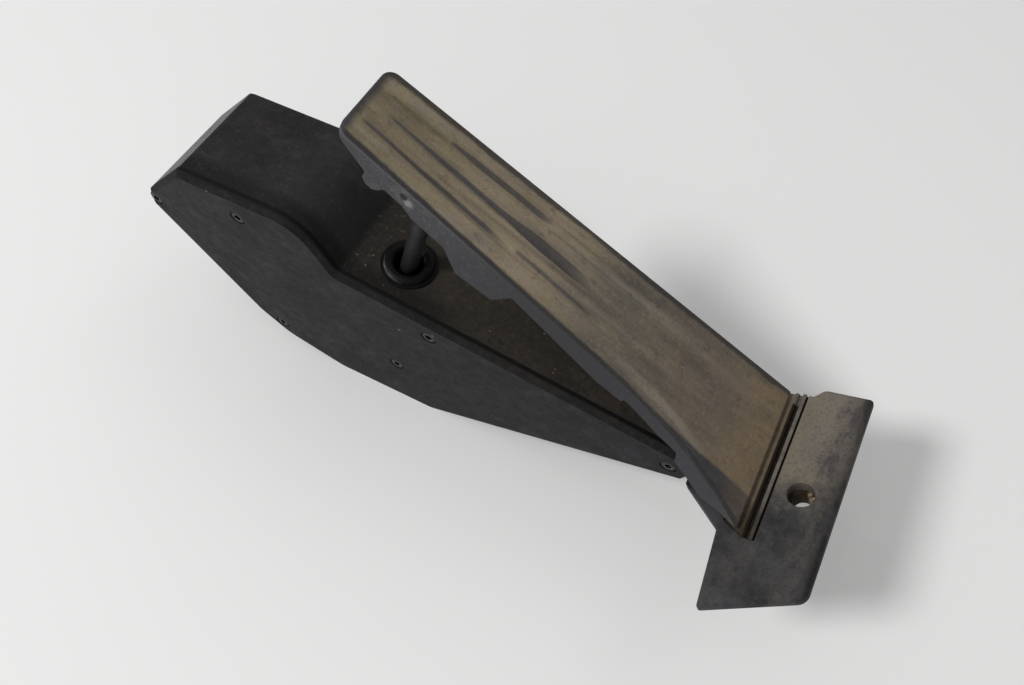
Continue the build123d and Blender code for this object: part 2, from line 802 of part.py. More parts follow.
# Lever: hub, tapering arm and the channelled pad that the foot of the rod presses
pad_start = arm_length - pad_back
pad_end = arm_length + pad_front
channel_half = rod_r + channel_clearance + channel_wall
with BuildPart() as lever:
    with BuildSketch(arm_plane(lever_far_y)):
        Circle(hub_r)
    extrude(amount=lever_width)
    with BuildSketch(arm_plane(rod_y)):
        with BuildLine():
            Polyline(
                (0, arm_rise),
                (stop_reach + stop_length, arm_rise),
                (pad_start, pad_level),
                (pad_end, pad_level),
                (pad_end, pad_level - pad_thickness),
                (pad_start, pad_level - pad_thickness),
                (spring_reach + spring_seat_r, -arm_drop),
                (0, -arm_drop),
                close=True,
            )
        make_face()
    extrude(amount=arm_width / 2, both=True)
    with BuildSketch(arm_plane(rod_y)):
        with BuildLine():
            Polyline(
                (pad_start, pad_level - pad_thickness),
                (pad_end, pad_level - pad_thickness),
                (pad_end, pad_level + channel_height),
                (pad_start, pad_level + channel_height),
                close=True,
            )
        make_face()
    extrude(amount=channel_half, both=True)
    with BuildSketch(arm_plane(rod_y)):
        with Locations(((pad_start + pad_end) / 2, pad_level)):
            Rectangle(
                pad_back + pad_front,
                2 * channel_height,
                align=(Align.CENTER, Align.MIN),
            )
    extrude(amount=rod_r + channel_clearance, both=True, mode=Mode.SUBTRACT)
    with BuildSketch(arm_plane(lever_far_y)):
        Circle(shaft_r + snug)
    extrude(amount=lever_width, mode=Mode.SUBTRACT)
lever.part.label = "lever"

# Steel shaft that the lever and the sensor rotor turn on
with BuildPart() as lever_shaft:
    with BuildSketch(side_plane(shaft_far_y - side_gap)):
        with Locations((pivot_x, pivot_z)):
            Circle(shaft_r)
    extrude(amount=shaft_far_y - shaft_near_y - 2 * side_gap)
lever_shaft.part.label = "lever_shaft"


def bush(label, far_y):
    """One plain bush for the shaft, with its far end at far_y."""
    with BuildPart() as piece:
        with BuildSketch(side_plane(far_y)):
            with Locations((pivot_x, pivot_z)):
                Circle(bush_r)
                Circle(shaft_r + running_clearance, mode=Mode.SUBTRACT)
        extrude(amount=bush_length)
    piece.part.label = label
    return piece


near_bush = bush("near_bush", near_boss_y)
far_bush = bush("far_bush", shaft_far_y)


def coil(label, radius, wire, turns):
    """One return spring of square wire, wound between the floor seat and the arm."""
    height = spring_top_z - spring_seat_z - 2 * wire
    with BuildPart() as piece:
        with BuildLine():
            start = placed(spring_x, rod_y, spring_seat_z + wire)
            winding = Helix(height / turns, height, radius, center=start)
        with BuildSketch(Plane(winding @ 0, z_dir=winding % 0)):
            Rectangle(wire, wire)
        sweep(path=winding, is_frenet=True)
    piece.part.label = label
    return piece


outer_return_spring = coil("outer_return_spring", outer_spring_r, outer_wire, outer_turns)
inner_return_spring = coil("inner_return_spring", inner_spring_r, inner_wire, inner_turns)

# Friction shoe that rubs the hub
with BuildPart() as friction_shoe:
    with BuildSketch(side_plane(lever_far_y)):
        with Locations((pivot_x, pivot_z)):
            Circle(hub_r + shoe_gap + shoe_thickness)
            Circle(hub_r + shoe_gap, mode=Mode.SUBTRACT)
        with BuildLine():
            sector(shoe_gap)
        make_face(mode=Mode.INTERSECT)
    extrude(amount=lever_width)
friction_shoe.part.label = "friction_shoe"

# Rubber pad that the arm rests against at idle
with BuildPart() as idle_stop:
    with BuildSketch(arm_plane(lever_far_y)):
        with Locations((stop_reach, arm_rise + stop_gap + stop_thickness / 2)):
            Rectangle(stop_length, stop_thickness)
    extrude(amount=lever_width)
idle_stop.part.label = "idle_stop"

# Rotor disc with two magnets, fixed on the shaft beside the lever
magnet_angles = (90 - magnet_spread, 90 + magnet_spread)
magnet_points = [
    (
        pivot_x + magnet_ring_r * cos(radians(angle)),
        pivot_z + magnet_ring_r * sin(radians(angle)),
    )
    for angle in magnet_angles
]
with BuildPart() as sensor_rotor:
    with BuildSketch(side_plane(rotor_far_y)):
        with Locations((pivot_x, pivot_z)):
            Circle(rotor_r)
            Circle(shaft_r + snug, mode=Mode.SUBTRACT)
    extrude(amount=rotor_thickness)
    with BuildSketch(side_plane(rotor_far_y)):
        with Locations(*magnet_points):
            Rectangle(magnet_size + 2 * snug, magnet_size + 2 * snug)
    extrude(amount=magnet_depth, mode=Mode.SUBTRACT)
sensor_rotor.part.label = "sensor_rotor"

with BuildPart() as rotor_magnets:
    with BuildSketch(side_plane(rotor_far_y)):
        with Locations(*magnet_points):
            Rectangle(magnet_size, magnet_size)
    extrude(amount=magnet_depth)
rotor_magnets.part.label = "rotor_magnets"

# Sensor board on its posts, with two field sensors facing the magnets
board_x = (board_left_x + board_right_x) / 2
board_z = (board_low_z + board_high_z) / 2
with BuildPart() as sensor_board:
    with BuildSketch(side_plane(board_far_y)):
        with Locations((board_x, board_z)):
            Rectangle(board_right_x - board_left_x, board_high_z - board_low_z)
        with Locations(*post_points):
            Circle(board_screw_r + screw_clearance, mode=Mode.SUBTRACT)
        with Locations((plug_x, plug_z)):
            with GridLocations(pin_pitch_x, pin_pitch_z, pin_columns, pin_rows):
                Rectangle(pin_size + 2 * snug, pin_size + 2 * snug, mode=Mode.SUBTRACT)
    extrude(amount=board_thickness)
sensor_board.part.label = "sensor_board"

with BuildPart() as field_sensors:
    with BuildSketch(side_plane(board_near_y)):
        with Locations((pivot_x, board_low_z + hall_rise)):
            with GridLocations(hall_spread, 0, hall_count, 1):
                Rectangle(hall_width, hall_height)
    extrude(amount=hall_thickness)
field_sensors.part.label = "field_sensors"

with BuildPart() as board_screws:
    with BuildSketch(side_plane(board_near_y)):
        with Locations(*post_points):
            Circle(board_head_r)
    extrude(amount=board_head_height)
    with BuildSketch(side_plane(board_near_y)):
        with Locations(*post_points):
            Circle(board_screw_r)
    extrude(amount=-(board_thickness + board_screw_length - side_gap))
board_screws.part.label = "board_screws"

# Contact pins from the board through the back of the plug socket
with BuildPart() as contact_pins:
    with BuildSketch(side_plane(housing_width - pin_tip_setback)):
        with Locations((plug_x, plug_z)):
            with GridLocations(pin_pitch_x, pin_pitch_z, pin_columns, pin_rows):
                Rectangle(pin_size, pin_size)
    extrude(amount=housing_width - pin_tip_setback - board_near_y + pin_size)
contact_pins.part.label = "contact_pins"

pieces = [
    housing_body,
    side_cover,
    cover_screws,
    heel_sleeve,
    hinge_strip,
    pedal_plate,
    rod_socket,
    push_rod,
    rod_grommet,
    lever,
    lever_shaft,
    near_bush,
    far_bush,
    outer_return_spring,
    inner_return_spring,
    friction_shoe,
    idle_stop,
    sensor_rotor,
    rotor_magnets,
    sensor_board,
    field_sensors,
    board_screws,
    contact_pins,
]
os.makedirs("parts", exist_ok=True)
for piece in pieces:
    export_step(piece.part, f"parts/{piece.part.label}.step")
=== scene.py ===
"""Looks of a floor-hinged accelerator pedal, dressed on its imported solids."""

import json
import logging
import math
from dataclasses import dataclass, field
from enum import Enum

import bmesh
import bpy
from mathutils import Matrix, Vector


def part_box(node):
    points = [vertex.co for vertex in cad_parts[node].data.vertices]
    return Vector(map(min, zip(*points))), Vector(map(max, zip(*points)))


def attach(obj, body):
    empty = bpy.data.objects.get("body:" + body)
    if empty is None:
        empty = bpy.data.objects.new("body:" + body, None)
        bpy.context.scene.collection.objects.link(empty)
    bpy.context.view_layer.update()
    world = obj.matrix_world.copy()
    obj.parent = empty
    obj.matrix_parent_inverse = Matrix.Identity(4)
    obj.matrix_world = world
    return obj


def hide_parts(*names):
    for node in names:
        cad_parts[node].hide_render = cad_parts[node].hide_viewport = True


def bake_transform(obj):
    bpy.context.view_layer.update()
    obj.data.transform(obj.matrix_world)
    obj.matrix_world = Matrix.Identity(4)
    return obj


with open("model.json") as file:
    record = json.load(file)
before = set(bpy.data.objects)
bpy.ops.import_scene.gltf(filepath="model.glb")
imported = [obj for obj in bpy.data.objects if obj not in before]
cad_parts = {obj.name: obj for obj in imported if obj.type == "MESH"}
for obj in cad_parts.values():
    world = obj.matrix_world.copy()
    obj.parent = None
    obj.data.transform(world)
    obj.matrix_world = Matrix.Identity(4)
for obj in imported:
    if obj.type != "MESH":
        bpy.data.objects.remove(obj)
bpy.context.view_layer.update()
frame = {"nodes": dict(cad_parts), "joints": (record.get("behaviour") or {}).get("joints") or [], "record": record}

LOG = logging.getLogger("accelerator_pedal")
MM = 0.001
WELD = 0.001 * MM
EDGE_SAMPLES = 6
SQUARE = math.radians(90)
Colour = tuple[float, float, float]
Socket = bpy.types.NodeSocket
Feed = Socket | float | Colour | Vector


class Blend(Enum):
    """How one colour is laid over another."""

    OVER = "MIX"
    TINT = "MULTIPLY"
    LIFT = "SCREEN"


class Lay(Enum):
    """The plane that a pattern is laid out on."""

    PART = "part"
    TREAD = "tread"
    HEEL = "heel"


def joint_place(name: str) -> Vector:
    """Finds where a joint of the frame turns.

    Args:
        name: the joint's name in the record.

    Returns:
        A point on the joint's axis, in metres.
    """
    found = [joint for joint in frame["joints"] if joint["name"] == name]
    return Vector(found[0]["pos_m"])


def mount(name: str) -> tuple[Vector, Vector]:
    """Finds a mount of the frame.

    Args:
        name: the mount's name in the record.

    Returns:
        Its place in metres and its axis.
    """
    found = [entry for entry in frame["record"]["mounts"] if entry["name"] == name]
    return Vector(found[0]["pos_m"]), Vector(found[0]["axis"])


@dataclass
class Graph:
    """Adds and joins shader nodes in one node tree."""

    tree: bpy.types.NodeTree

    def add(self, kind: str, **settings: object) -> bpy.types.Node:
        """Adds one node.

        Args:
            kind: the node's type, without the word ShaderNode.
            settings: properties to set on it.

        Returns:
            The new node.
        """
        node = self.tree.nodes.new("ShaderNode" + kind)
        for name, value in settings.items():
            setattr(node, name, value)
        return node

    def feed(self, socket: Socket, value: Feed) -> None:
        """Links a socket to another, or sets its plain value.

        Args:
            socket: the input to feed.
            value: an output socket, a number, a colour or a vector.
        """
        if isinstance(value, bpy.types.NodeSocket):
            self.tree.links.new(value, socket)
        elif socket.type == "RGBA":
            socket.default_value = (*value, 1.0)
        else:
            socket.default_value = value

    def calc(self, operation: str, *values: Feed, clamp: bool = False) -> Socket:
        """Works out one number.

        Args:
            operation: the Math node's operation.
            values: its inputs in order.
            clamp: whether to keep the result from 0 to 1.

        Returns:
            The result.
        """
        node = self.add("Math", operation=operation, use_clamp=clamp)
        for socket, value in zip(node.inputs, values):
            self.feed(socket, value)
        return node.outputs[0]

    def step(self, value: Feed, low: float, high: float) -> Socket:
        """Eases a number from 0 to 1.

        Args:
            value: the number to read.
            low: where the result is 0.
            high: where the result is 1.

        Returns:
            The eased number.
        """
        turned = low > high
        node = self.add("MapRange", interpolation_type="SMOOTHSTEP")
        self.feed(node.inputs["Value"], value)
        node.inputs["From Min"].default_value = min(low, high)
        node.inputs["From Max"].default_value = max(low, high)
        node.inputs["To Min"].default_value = 1.0 if turned else 0.0
        node.inputs["To Max"].default_value = 0.0 if turned else 1.0
        return node.outputs[0]

    def scale(self, value: Feed, low: float, high: float) -> Socket:
        """Spreads a number from 0 to 1 over another range.

        Args:
            value: the number to read.
            low: the result at 0.
            high: the result at 1.

        Returns:
            The spread number.
        """
        return self.calc("MULTIPLY_ADD", value, high - low, low)

    def outside(self, mask: Feed) -> Socket:
        """Turns a mask inside out."""
        return self.scale(mask, 1.0, 0.0)

    def both(self, *masks: Feed) -> Socket:
        """Multiplies masks.

        Args:
            masks: one or more numbers from 0 to 1.

        Returns:
            Their product.
        """
        result = masks[0]
        for mask in masks[1:]:
            result = self.calc("MULTIPLY", result, mask)
        return result

    def mix(self, share: Feed, first: Feed, second: Feed, blend: Blend = Blend.OVER) -> Socket:
        """Lays one colour over another.

        Args:
            share: how much of the second shows.
            first: the colour below.
            second: the colour above.
            blend: how the second is laid on.

        Returns:
            The mixed colour.
        """
        node = self.add("Mix", data_type="RGBA", blend_type=blend.value)
        sockets = {socket.identifier: socket for socket in node.inputs}
        self.feed(sockets["Factor_Float"], share)
        self.feed(sockets["A_Color"], first)
        self.feed(sockets["B_Color"], second)
        results = {socket.identifier: socket for socket in node.outputs}
        return results["Result_Color"]

    def between(self, value: Feed, low: float, high: float, soft: float) -> Socket:
        """Masks a range of a number.

        Args:
            value: the number to read.
            low: where the range starts.
            high: where the range ends.
            soft: how far each end fades, to both sides.

        Returns:
            A mask that is 1 inside the range.
        """
        return self.both(self.step(value, low - soft, low + soft), self.step(value, high + soft, high - soft))

    def coat(self, below: Feed, above: Feed, *masks: Feed) -> Socket:
        """Lays a colour over another where all the masks meet.

        Args:
            below: the colour below.
            above: the colour above.
            masks: one or more numbers from 0 to 1.

        Returns:
            The mixed colour.
        """
        return self.mix(self.both(*masks), below, above)

    def away(self, first: Socket, second: Socket, centre: tuple[float, float]) -> Socket:
        """Measures how far a place lies from a point of its plane.

        Args:
            first: the place's first number.
            second: the place's second number.
            centre: the same two numbers of the point.

        Returns:
            The distance in metres.
        """
        one = self.calc("SUBTRACT", first, centre[0])
        two = self.calc("SUBTRACT", second, centre[1])
        return self.calc("SQRT", self.calc("MULTIPLY_ADD", one, one, self.calc("MULTIPLY", two, two)))

    def noise(self, place: Socket, size: float, detail: float = 3.0, rough: float = 0.55) -> Socket:
        """Makes a cloudy value.

        Args:
            place: the coordinates to read.
            size: the size of one cloud in metres.
            detail: how many finer layers it has.
            rough: how strong the finer layers are.

        Returns:
            A value round 0.5.
        """
        node = self.add("TexNoise")
        self.feed(node.inputs["Vector"], place)
        node.inputs["Scale"].default_value = 1.0 / size
        node.inputs["Detail"].default_value = detail
        node.inputs["Roughness"].default_value = rough
        return node.outputs[0]

    def stretch(self, place: Socket, factors: tuple[float, float, float]) -> Socket:
        """Stretches coordinates, so that a pattern becomes streaks.

        Args:
            place: the coordinates to read.
            factors: the factor along each axis, under 1 to lengthen.

        Returns:
            The stretched coordinates.
        """
        node = self.add("Mapping", vector_type="POINT")
        self.feed(node.inputs["Vector"], place)
        node.inputs["Scale"].default_value = factors
        return node.outputs[0]

    def axes(self, place: Socket) -> tuple[Socket, Socket, Socket]:
        """Splits coordinates into their three numbers.

        Args:
            place: the coordinates to read.

        Returns:
            The three numbers.
        """
        node = self.add("SeparateXYZ")
        self.feed(node.inputs[0], place)
        return node.outputs[0], node.outputs[1], node.outputs[2]

    def coords(self) -> Socket:
        """Gives the piece's own Object coordinates."""
        return self.add("TexCoord").outputs["Object"]

    def facing(self) -> Socket:
        """Gives the surface normal in the piece's own axes."""
        return self.add("TexCoord").outputs["Normal"]

    def effect(self, group: bpy.types.NodeTree, **values: Feed) -> dict[str, Socket]:
        """Places a shared effect.

        Args:
            group: the effect's node group.
            values: its inputs by name.

        Returns:
            Its outputs by name.
        """
        node = self.add("Group", node_tree=group)
        for name, value in values.items():
            self.feed(node.inputs[name], value)
        return {socket.name: socket for socket in node.outputs}


@dataclass(frozen=True)
class Cloud:
    """A cloudy pattern, drawn out along each axis whose pull is under 1."""

    size: float
    detail: float = 3.0
    rough: float = 0.55
    pull: tuple[float, float, float] | None = None

    def on(self, graph: Graph, place: Socket) -> Socket:
        """Makes the pattern.

        Args:
            graph: the graph to add to.
            place: the coordinates to read.

        Returns:
            A value round 0.5.
        """
        laid = place if self.pull is None else graph.stretch(place, self.pull)
        return graph.noise(laid, self.size, self.detail, self.rough)


@dataclass(frozen=True)
class Spread:
    """A range that a number from 0 to 1 is spread over."""

    low: float
    high: float

    def on(self, graph: Graph, value: Feed) -> Socket:
        """Spreads a number over the range."""
        return graph.scale(value, self.low, self.high)


@dataclass(frozen=True)
class Ramp:
    """An easing between two values of a number, from a low result to a high one."""

    start: float
    full: float
    low: float = 0.0
    high: float = 1.0

    def on(self, graph: Graph, value: Feed) -> Socket:
        """Eases a number.

        Args:
            graph: the graph to add to.
            value: the number to read.

        Returns:
            A number from low to high.
        """
        eased = graph.step(value, self.start, self.full)
        if (self.low, self.high) == (0.0, 1.0):
            return eased
        return graph.scale(eased, self.low, self.high)


@dataclass(frozen=True)
class Band:
    """A range of a number, with soft ends."""

    low: float
    high: float
    soft: float

    def on(self, graph: Graph, value: Feed) -> Socket:
        """Masks the range."""
        return graph.between(value, self.low, self.high, self.soft)


@dataclass(frozen=True)
class Layer:
    """A colour that is laid on where a number passes between two of its values."""

    colour: Colour
    start: float
    full: float
    share: float | None = None

    def over(self, graph: Graph, below: Feed, value: Feed, *masks: Feed) -> Socket:
        """Lays the colour on.

        Args:
            graph: the graph to add to.
            below: the colour below.
            value: the number to read.
            masks: further masks that hold the colour back.

        Returns:
            The mixed colour.
        """
        shares = () if self.share is None else (self.share,)
        return graph.coat(below, self.colour, graph.step(value, self.start, self.full), *masks, *shares)


@dataclass
class Effects:
    """The shader groups that more than one finish uses."""

    grain: bpy.types.NodeTree = field(init=False)
    dust: bpy.types.NodeTree = field(init=False)
    wear: bpy.types.NodeTree = field(init=False)
    grit: bpy.types.NodeTree = field(init=False)
    specks: bpy.types.NodeTree = field(init=False)

    def __post_init__(self) -> None:
        """Builds each group once."""
        self.grain = self.make_grain()
        self.dust = self.make_dust()
        self.wear = self.make_wear()
        self.grit = self.make_grit()
        self.specks = self.make_specks()

    def begin(
        self, name: str, inputs: dict[str, str], outputs: tuple[str, ...]
    ) -> tuple[Graph, dict[str, Socket]]:
        """Starts a group with its named sockets.

        Args:
            name: the group's name.
            inputs: each input's name and kind of socket.
            outputs: the names of its number outputs.

        Returns:
            The group's graph and its inputs by name.
        """
        tree = bpy.data.node_groups.new(name, "ShaderNodeTree")
        for label, kind in inputs.items():
            tree.interface.new_socket(label, in_out="INPUT", socket_type="NodeSocket" + kind)
        for label in outputs:
            tree.interface.new_socket(label, in_out="OUTPUT", socket_type="NodeSocketFloat")
        graph = Graph(tree)
        entry = tree.nodes.new("NodeGroupInput")
        return graph, {socket.name: socket for socket in entry.outputs if socket.name}

    def end(self, graph: Graph, **results: Socket) -> bpy.types.NodeTree:
        """Joins a group's results to its outputs.

        Args:
            graph: the group's graph.
            results: the results by output name.

        Returns:
            The finished group.
        """
        leave = graph.tree.nodes.new("NodeGroupOutput")
        for name, result in results.items():
            graph.feed(leave.inputs[name], result)
        return graph.tree

    def make_grain(self) -> bpy.types.NodeTree:
        """Builds the eroded texture of a moulded face.

        Returns:
            A group with a height and a slow change of tone.
        """
        graph, given = self.begin("moulded_grain", {"Place": "Vector", "Pitch": "Float"}, ("Height", "Tone"))
        fine = graph.add("TexNoise")
        graph.feed(fine.inputs["Vector"], given["Place"])
        graph.feed(fine.inputs["Scale"], graph.calc("DIVIDE", 1.0, given["Pitch"]))
        fine.inputs["Detail"].default_value = 4.0
        pits = graph.add("TexVoronoi", feature="SMOOTH_F1")
        graph.feed(pits.inputs["Vector"], given["Place"])
        graph.feed(pits.inputs["Scale"], graph.calc("DIVIDE", 0.6, given["Pitch"]))
        height = graph.calc("MULTIPLY_ADD", pits.outputs["Distance"], 0.5, fine.outputs[0])
        broad = graph.noise(given["Place"], 21 * MM, detail=5.0, rough=0.62)
        cloud = graph.noise(given["Place"], 4.5 * MM, detail=3.0)
        tone = graph.calc("MULTIPLY_ADD", cloud, 0.4, graph.calc("MULTIPLY", broad, 0.6))
        return self.end(graph, Height=height, Tone=graph.step(tone, 0.34, 0.66))

    def make_dust(self) -> bpy.types.NodeTree:
        """Builds settled dust that lies on faces that look up.

        Returns:
            A group with a film of dust and loose specks.
        """
        graph, given = self.begin(
            "settled_dust", {"Place": "Vector", "Facing": "Vector", "Cover": "Float"}, ("Film", "Specks")
        )
        up = graph.step(graph.axes(given["Facing"])[2], 0.45, 0.92)
        patch = graph.noise(given["Place"], 14 * MM, detail=6.0, rough=0.68)
        powder = graph.noise(given["Place"], 1.1 * MM, detail=3.0, rough=0.7)
        cloud = graph.calc("MULTIPLY_ADD", powder, 0.35, graph.calc("MULTIPLY", patch, 0.65))
        lying = graph.calc("MULTIPLY", up, given["Cover"])
        film = graph.calc("MULTIPLY", graph.step(cloud, 0.36, 0.62), lying)
        grit = graph.add("TexVoronoi", feature="F1")
        graph.feed(grit.inputs["Vector"], given["Place"])
        grit.inputs["Scale"].default_value = 1.0 / (2.6 * MM)
        chosen = graph.step(graph.axes(grit.outputs["Color"])[0], 0.86, 0.9)
        dots = graph.calc("MULTIPLY", graph.step(grit.outputs["Distance"], 0.17, 0.07), chosen)
        specks = graph.calc("MULTIPLY", dots, lying, clamp=True)
        return self.end(graph, Film=film, Specks=specks)

    def make_wear(self) -> bpy.types.NodeTree:
        """Builds the rubbed look of outer edges.

        Returns:
            A group with a mask that is 1 on a bare edge.
        """
        inputs = {"Place": "Vector", "Reach": "Float", "Amount": "Float"}
        graph, given = self.begin("edge_wear", inputs, ("Rubbed",))
        bevel = graph.add("Bevel", samples=EDGE_SAMPLES)
        graph.feed(bevel.inputs["Radius"], given["Reach"])
        lean = graph.add("VectorMath", operation="DOT_PRODUCT")
        graph.feed(lean.inputs[0], bevel.outputs[0])
        graph.feed(lean.inputs[1], graph.add("NewGeometry").outputs["Normal"])
        edge = graph.step(lean.outputs["Value"], 0.995, 0.86)
        chips = graph.step(graph.noise(given["Place"], 2.2 * MM, detail=5.0, rough=0.7), 0.4, 0.66)
        rubbed = graph.calc("MULTIPLY", graph.calc("MULTIPLY", edge, chips), given["Amount"], clamp=True)
        return self.end(graph, Rubbed=rubbed)

    def make_grit(self) -> bpy.types.NodeTree:
        """Builds the fine mottling of trodden dirt.

        Returns:
            A group with masks of dark crumbs and of pale powder.
        """
        graph, given = self.begin("trodden_grit", {"Place": "Vector", "Amount": "Float"}, ("Dark", "Pale"))
        crumbs = graph.noise(given["Place"], 1.1 * MM, detail=3.0, rough=0.72)
        powder = graph.noise(given["Place"], 1.9 * MM, detail=5.0, rough=0.76)
        cloud = graph.noise(given["Place"], 8 * MM, detail=3.0)
        patch = graph.scale(graph.step(cloud, 0.36, 0.6), 0.5, 1.0)
        dark = graph.both(graph.step(crumbs, 0.49, 0.66), patch, given["Amount"])
        pale = graph.both(graph.step(powder, 0.5, 0.68), patch, given["Amount"])
        return self.end(graph, Dark=dark, Pale=pale)

    def make_specks(self) -> bpy.types.NodeTree:
        """Builds sparse loose specks of several sizes.

        Returns:
            A group with a mask that is 1 on a speck.
        """
        inputs = {"Place": "Vector", "Pitch": "Float", "Share": "Float"}
        graph, given = self.begin("loose_specks", inputs, ("Dots",))
        cells = graph.add("TexVoronoi", feature="F1")
        graph.feed(cells.inputs["Vector"], given["Place"])
        graph.feed(cells.inputs["Scale"], graph.calc("DIVIDE", 1.0, given["Pitch"]))
        chance, size, _ = graph.axes(cells.outputs["Color"])
        chosen = graph.calc("LESS_THAN", chance, given["Share"])
        inside = graph.calc("SUBTRACT", graph.scale(size, 0.06, 0.2), cells.outputs["Distance"])
        return self.end(graph, Dots=graph.both(graph.step(inside, -0.02, 0.06), chosen))


@dataclass
class Looks:
    """What every finish is made with: the shared effects and the planes that patterns are laid on."""

    effects: Effects
    tread_slope: float = math.radians(28.0)

    def origin(self, lay: Lay) -> Vector:
        """Finds the start of a pattern's plane, level with the cover's outer face.

        Args:
            lay: the plane asked for.

        Returns:
            Its start in metres.
        """
        face_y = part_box("side_cover")[0].y
        place = {
            Lay.PART: Vector((0, 0, 0)),
            Lay.TREAD: joint_place("pedal_hinge"),
            Lay.HEEL: mount("heel_bolt")[0],
        }[lay]
        return Vector((place.x, face_y, place.z))

    def turn(self, lay: Lay) -> Matrix:
        """Finds how a pattern's plane is turned.

        Args:
            lay: the plane asked for.

        Returns:
            A matrix whose rows are the plane's own axes.
        """
        across = Vector((0, 1, 0))
        up = {
            Lay.PART: Vector((0, 0, 1)),
            Lay.TREAD: Vector((math.sin(self.tread_slope), 0, math.cos(self.tread_slope))),
            Lay.HEEL: mount("heel_bolt")[1],
        }[lay]
        return Matrix((across.cross(up), across, up))

    def laid(self, graph: Graph, lay: Lay) -> Socket:
        """Reads a piece's place on one of the planes.

        Args:
            graph: the graph to add to.
            lay: the plane asked for.

        Returns:
            The place along, across and above the plane, in metres.
        """
        turn = self.turn(lay)
        node = graph.add("Mapping", vector_type="POINT")
        graph.feed(node.inputs["Vector"], graph.coords())
        node.inputs["Rotation"].default_value = turn.to_euler()
        node.inputs["Location"].default_value = -(turn @ self.origin(lay))
        return node.outputs[0]


@dataclass(frozen=True)
class Finish:
    """A finish of one plain material, with the detail that all of them share."""

    name: str
    colour: Colour
    pale: Colour
    rough: float = 0.6
    metallic: float = 0.0
    gloss: float = 0.35
    pitch: float = 0.7 * MM
    relief: float = 0.25
    round_edge: float = 0.5 * MM
    worn_reach: float = 0.6 * MM
    worn_amount: float = 0.5
    smoother: float = 0.06
    rougher: float = 0.06

    def material(self, looks: Looks) -> bpy.types.Material:
        """Makes the finish.

        Args:
            looks: the shared effects and planes.

        Returns:
            The new material.
        """
        made = bpy.data.materials.new(self.name)
        made.use_nodes = True
        graph = Graph(made.node_tree)
        shader = made.node_tree.nodes["Principled BSDF"]
        shader.inputs["Metallic"].default_value = self.metallic
        shader.inputs["Specular IOR Level"].default_value = self.gloss
        place = graph.coords()
        grain = graph.effect(looks.effects.grain, Place=place, Pitch=self.pitch)
        colour, rough = self.paint(graph, looks, grain["Tone"])
        graph.feed(shader.inputs["Base Color"], colour)
        graph.feed(shader.inputs["Roughness"], rough)
        soft = graph.add("Bevel", samples=EDGE_SAMPLES)
        soft.inputs["Radius"].default_value = self.round_edge
        bump = graph.add("Bump")
        bump.inputs["Strength"].default_value = self.relief
        bump.inputs["Distance"].default_value = self.pitch
        graph.feed(bump.inputs["Height"], grain["Height"])
        graph.feed(bump.inputs["Normal"], soft.outputs[0])
        graph.feed(shader.inputs["Normal"], bump.outputs[0])
        return made

    def rubbed(self, graph: Graph, looks: Looks, place: Socket) -> Socket:
        """Masks the outer edges that are rubbed bare.

        Args:
            graph: the material's graph.
            looks: the shared effects and planes.
            place: the place on the piece.

        Returns:
            The mask.
        """
        wear = graph.effect(looks.effects.wear, Place=place, Reach=self.worn_reach, Amount=self.worn_amount)
        return wear["Rubbed"]

    def roughness(self, graph: Graph, share: Socket) -> Socket:
        """Spreads the roughness by a share from 0 to 1."""
        return graph.scale(share, self.rough - self.smoother, self.rough + self.rougher)

    def paint(self, graph: Graph, looks: Looks, tone: Socket) -> tuple[Socket, Socket]:
        """Colours the finish.

        Args:
            graph: the material's graph.
            looks: the shared effects and planes.
            tone: the slow change of tone from 0 to 1.

        Returns:
            The colour and the roughness.
        """
        rubbed = self.rubbed(graph, looks, graph.coords())
        colour = graph.mix(tone, self.colour, self.pale)
        colour = graph.mix(rubbed, colour, self.pale, Blend.LIFT)
        return colour, self.roughness(graph, tone)


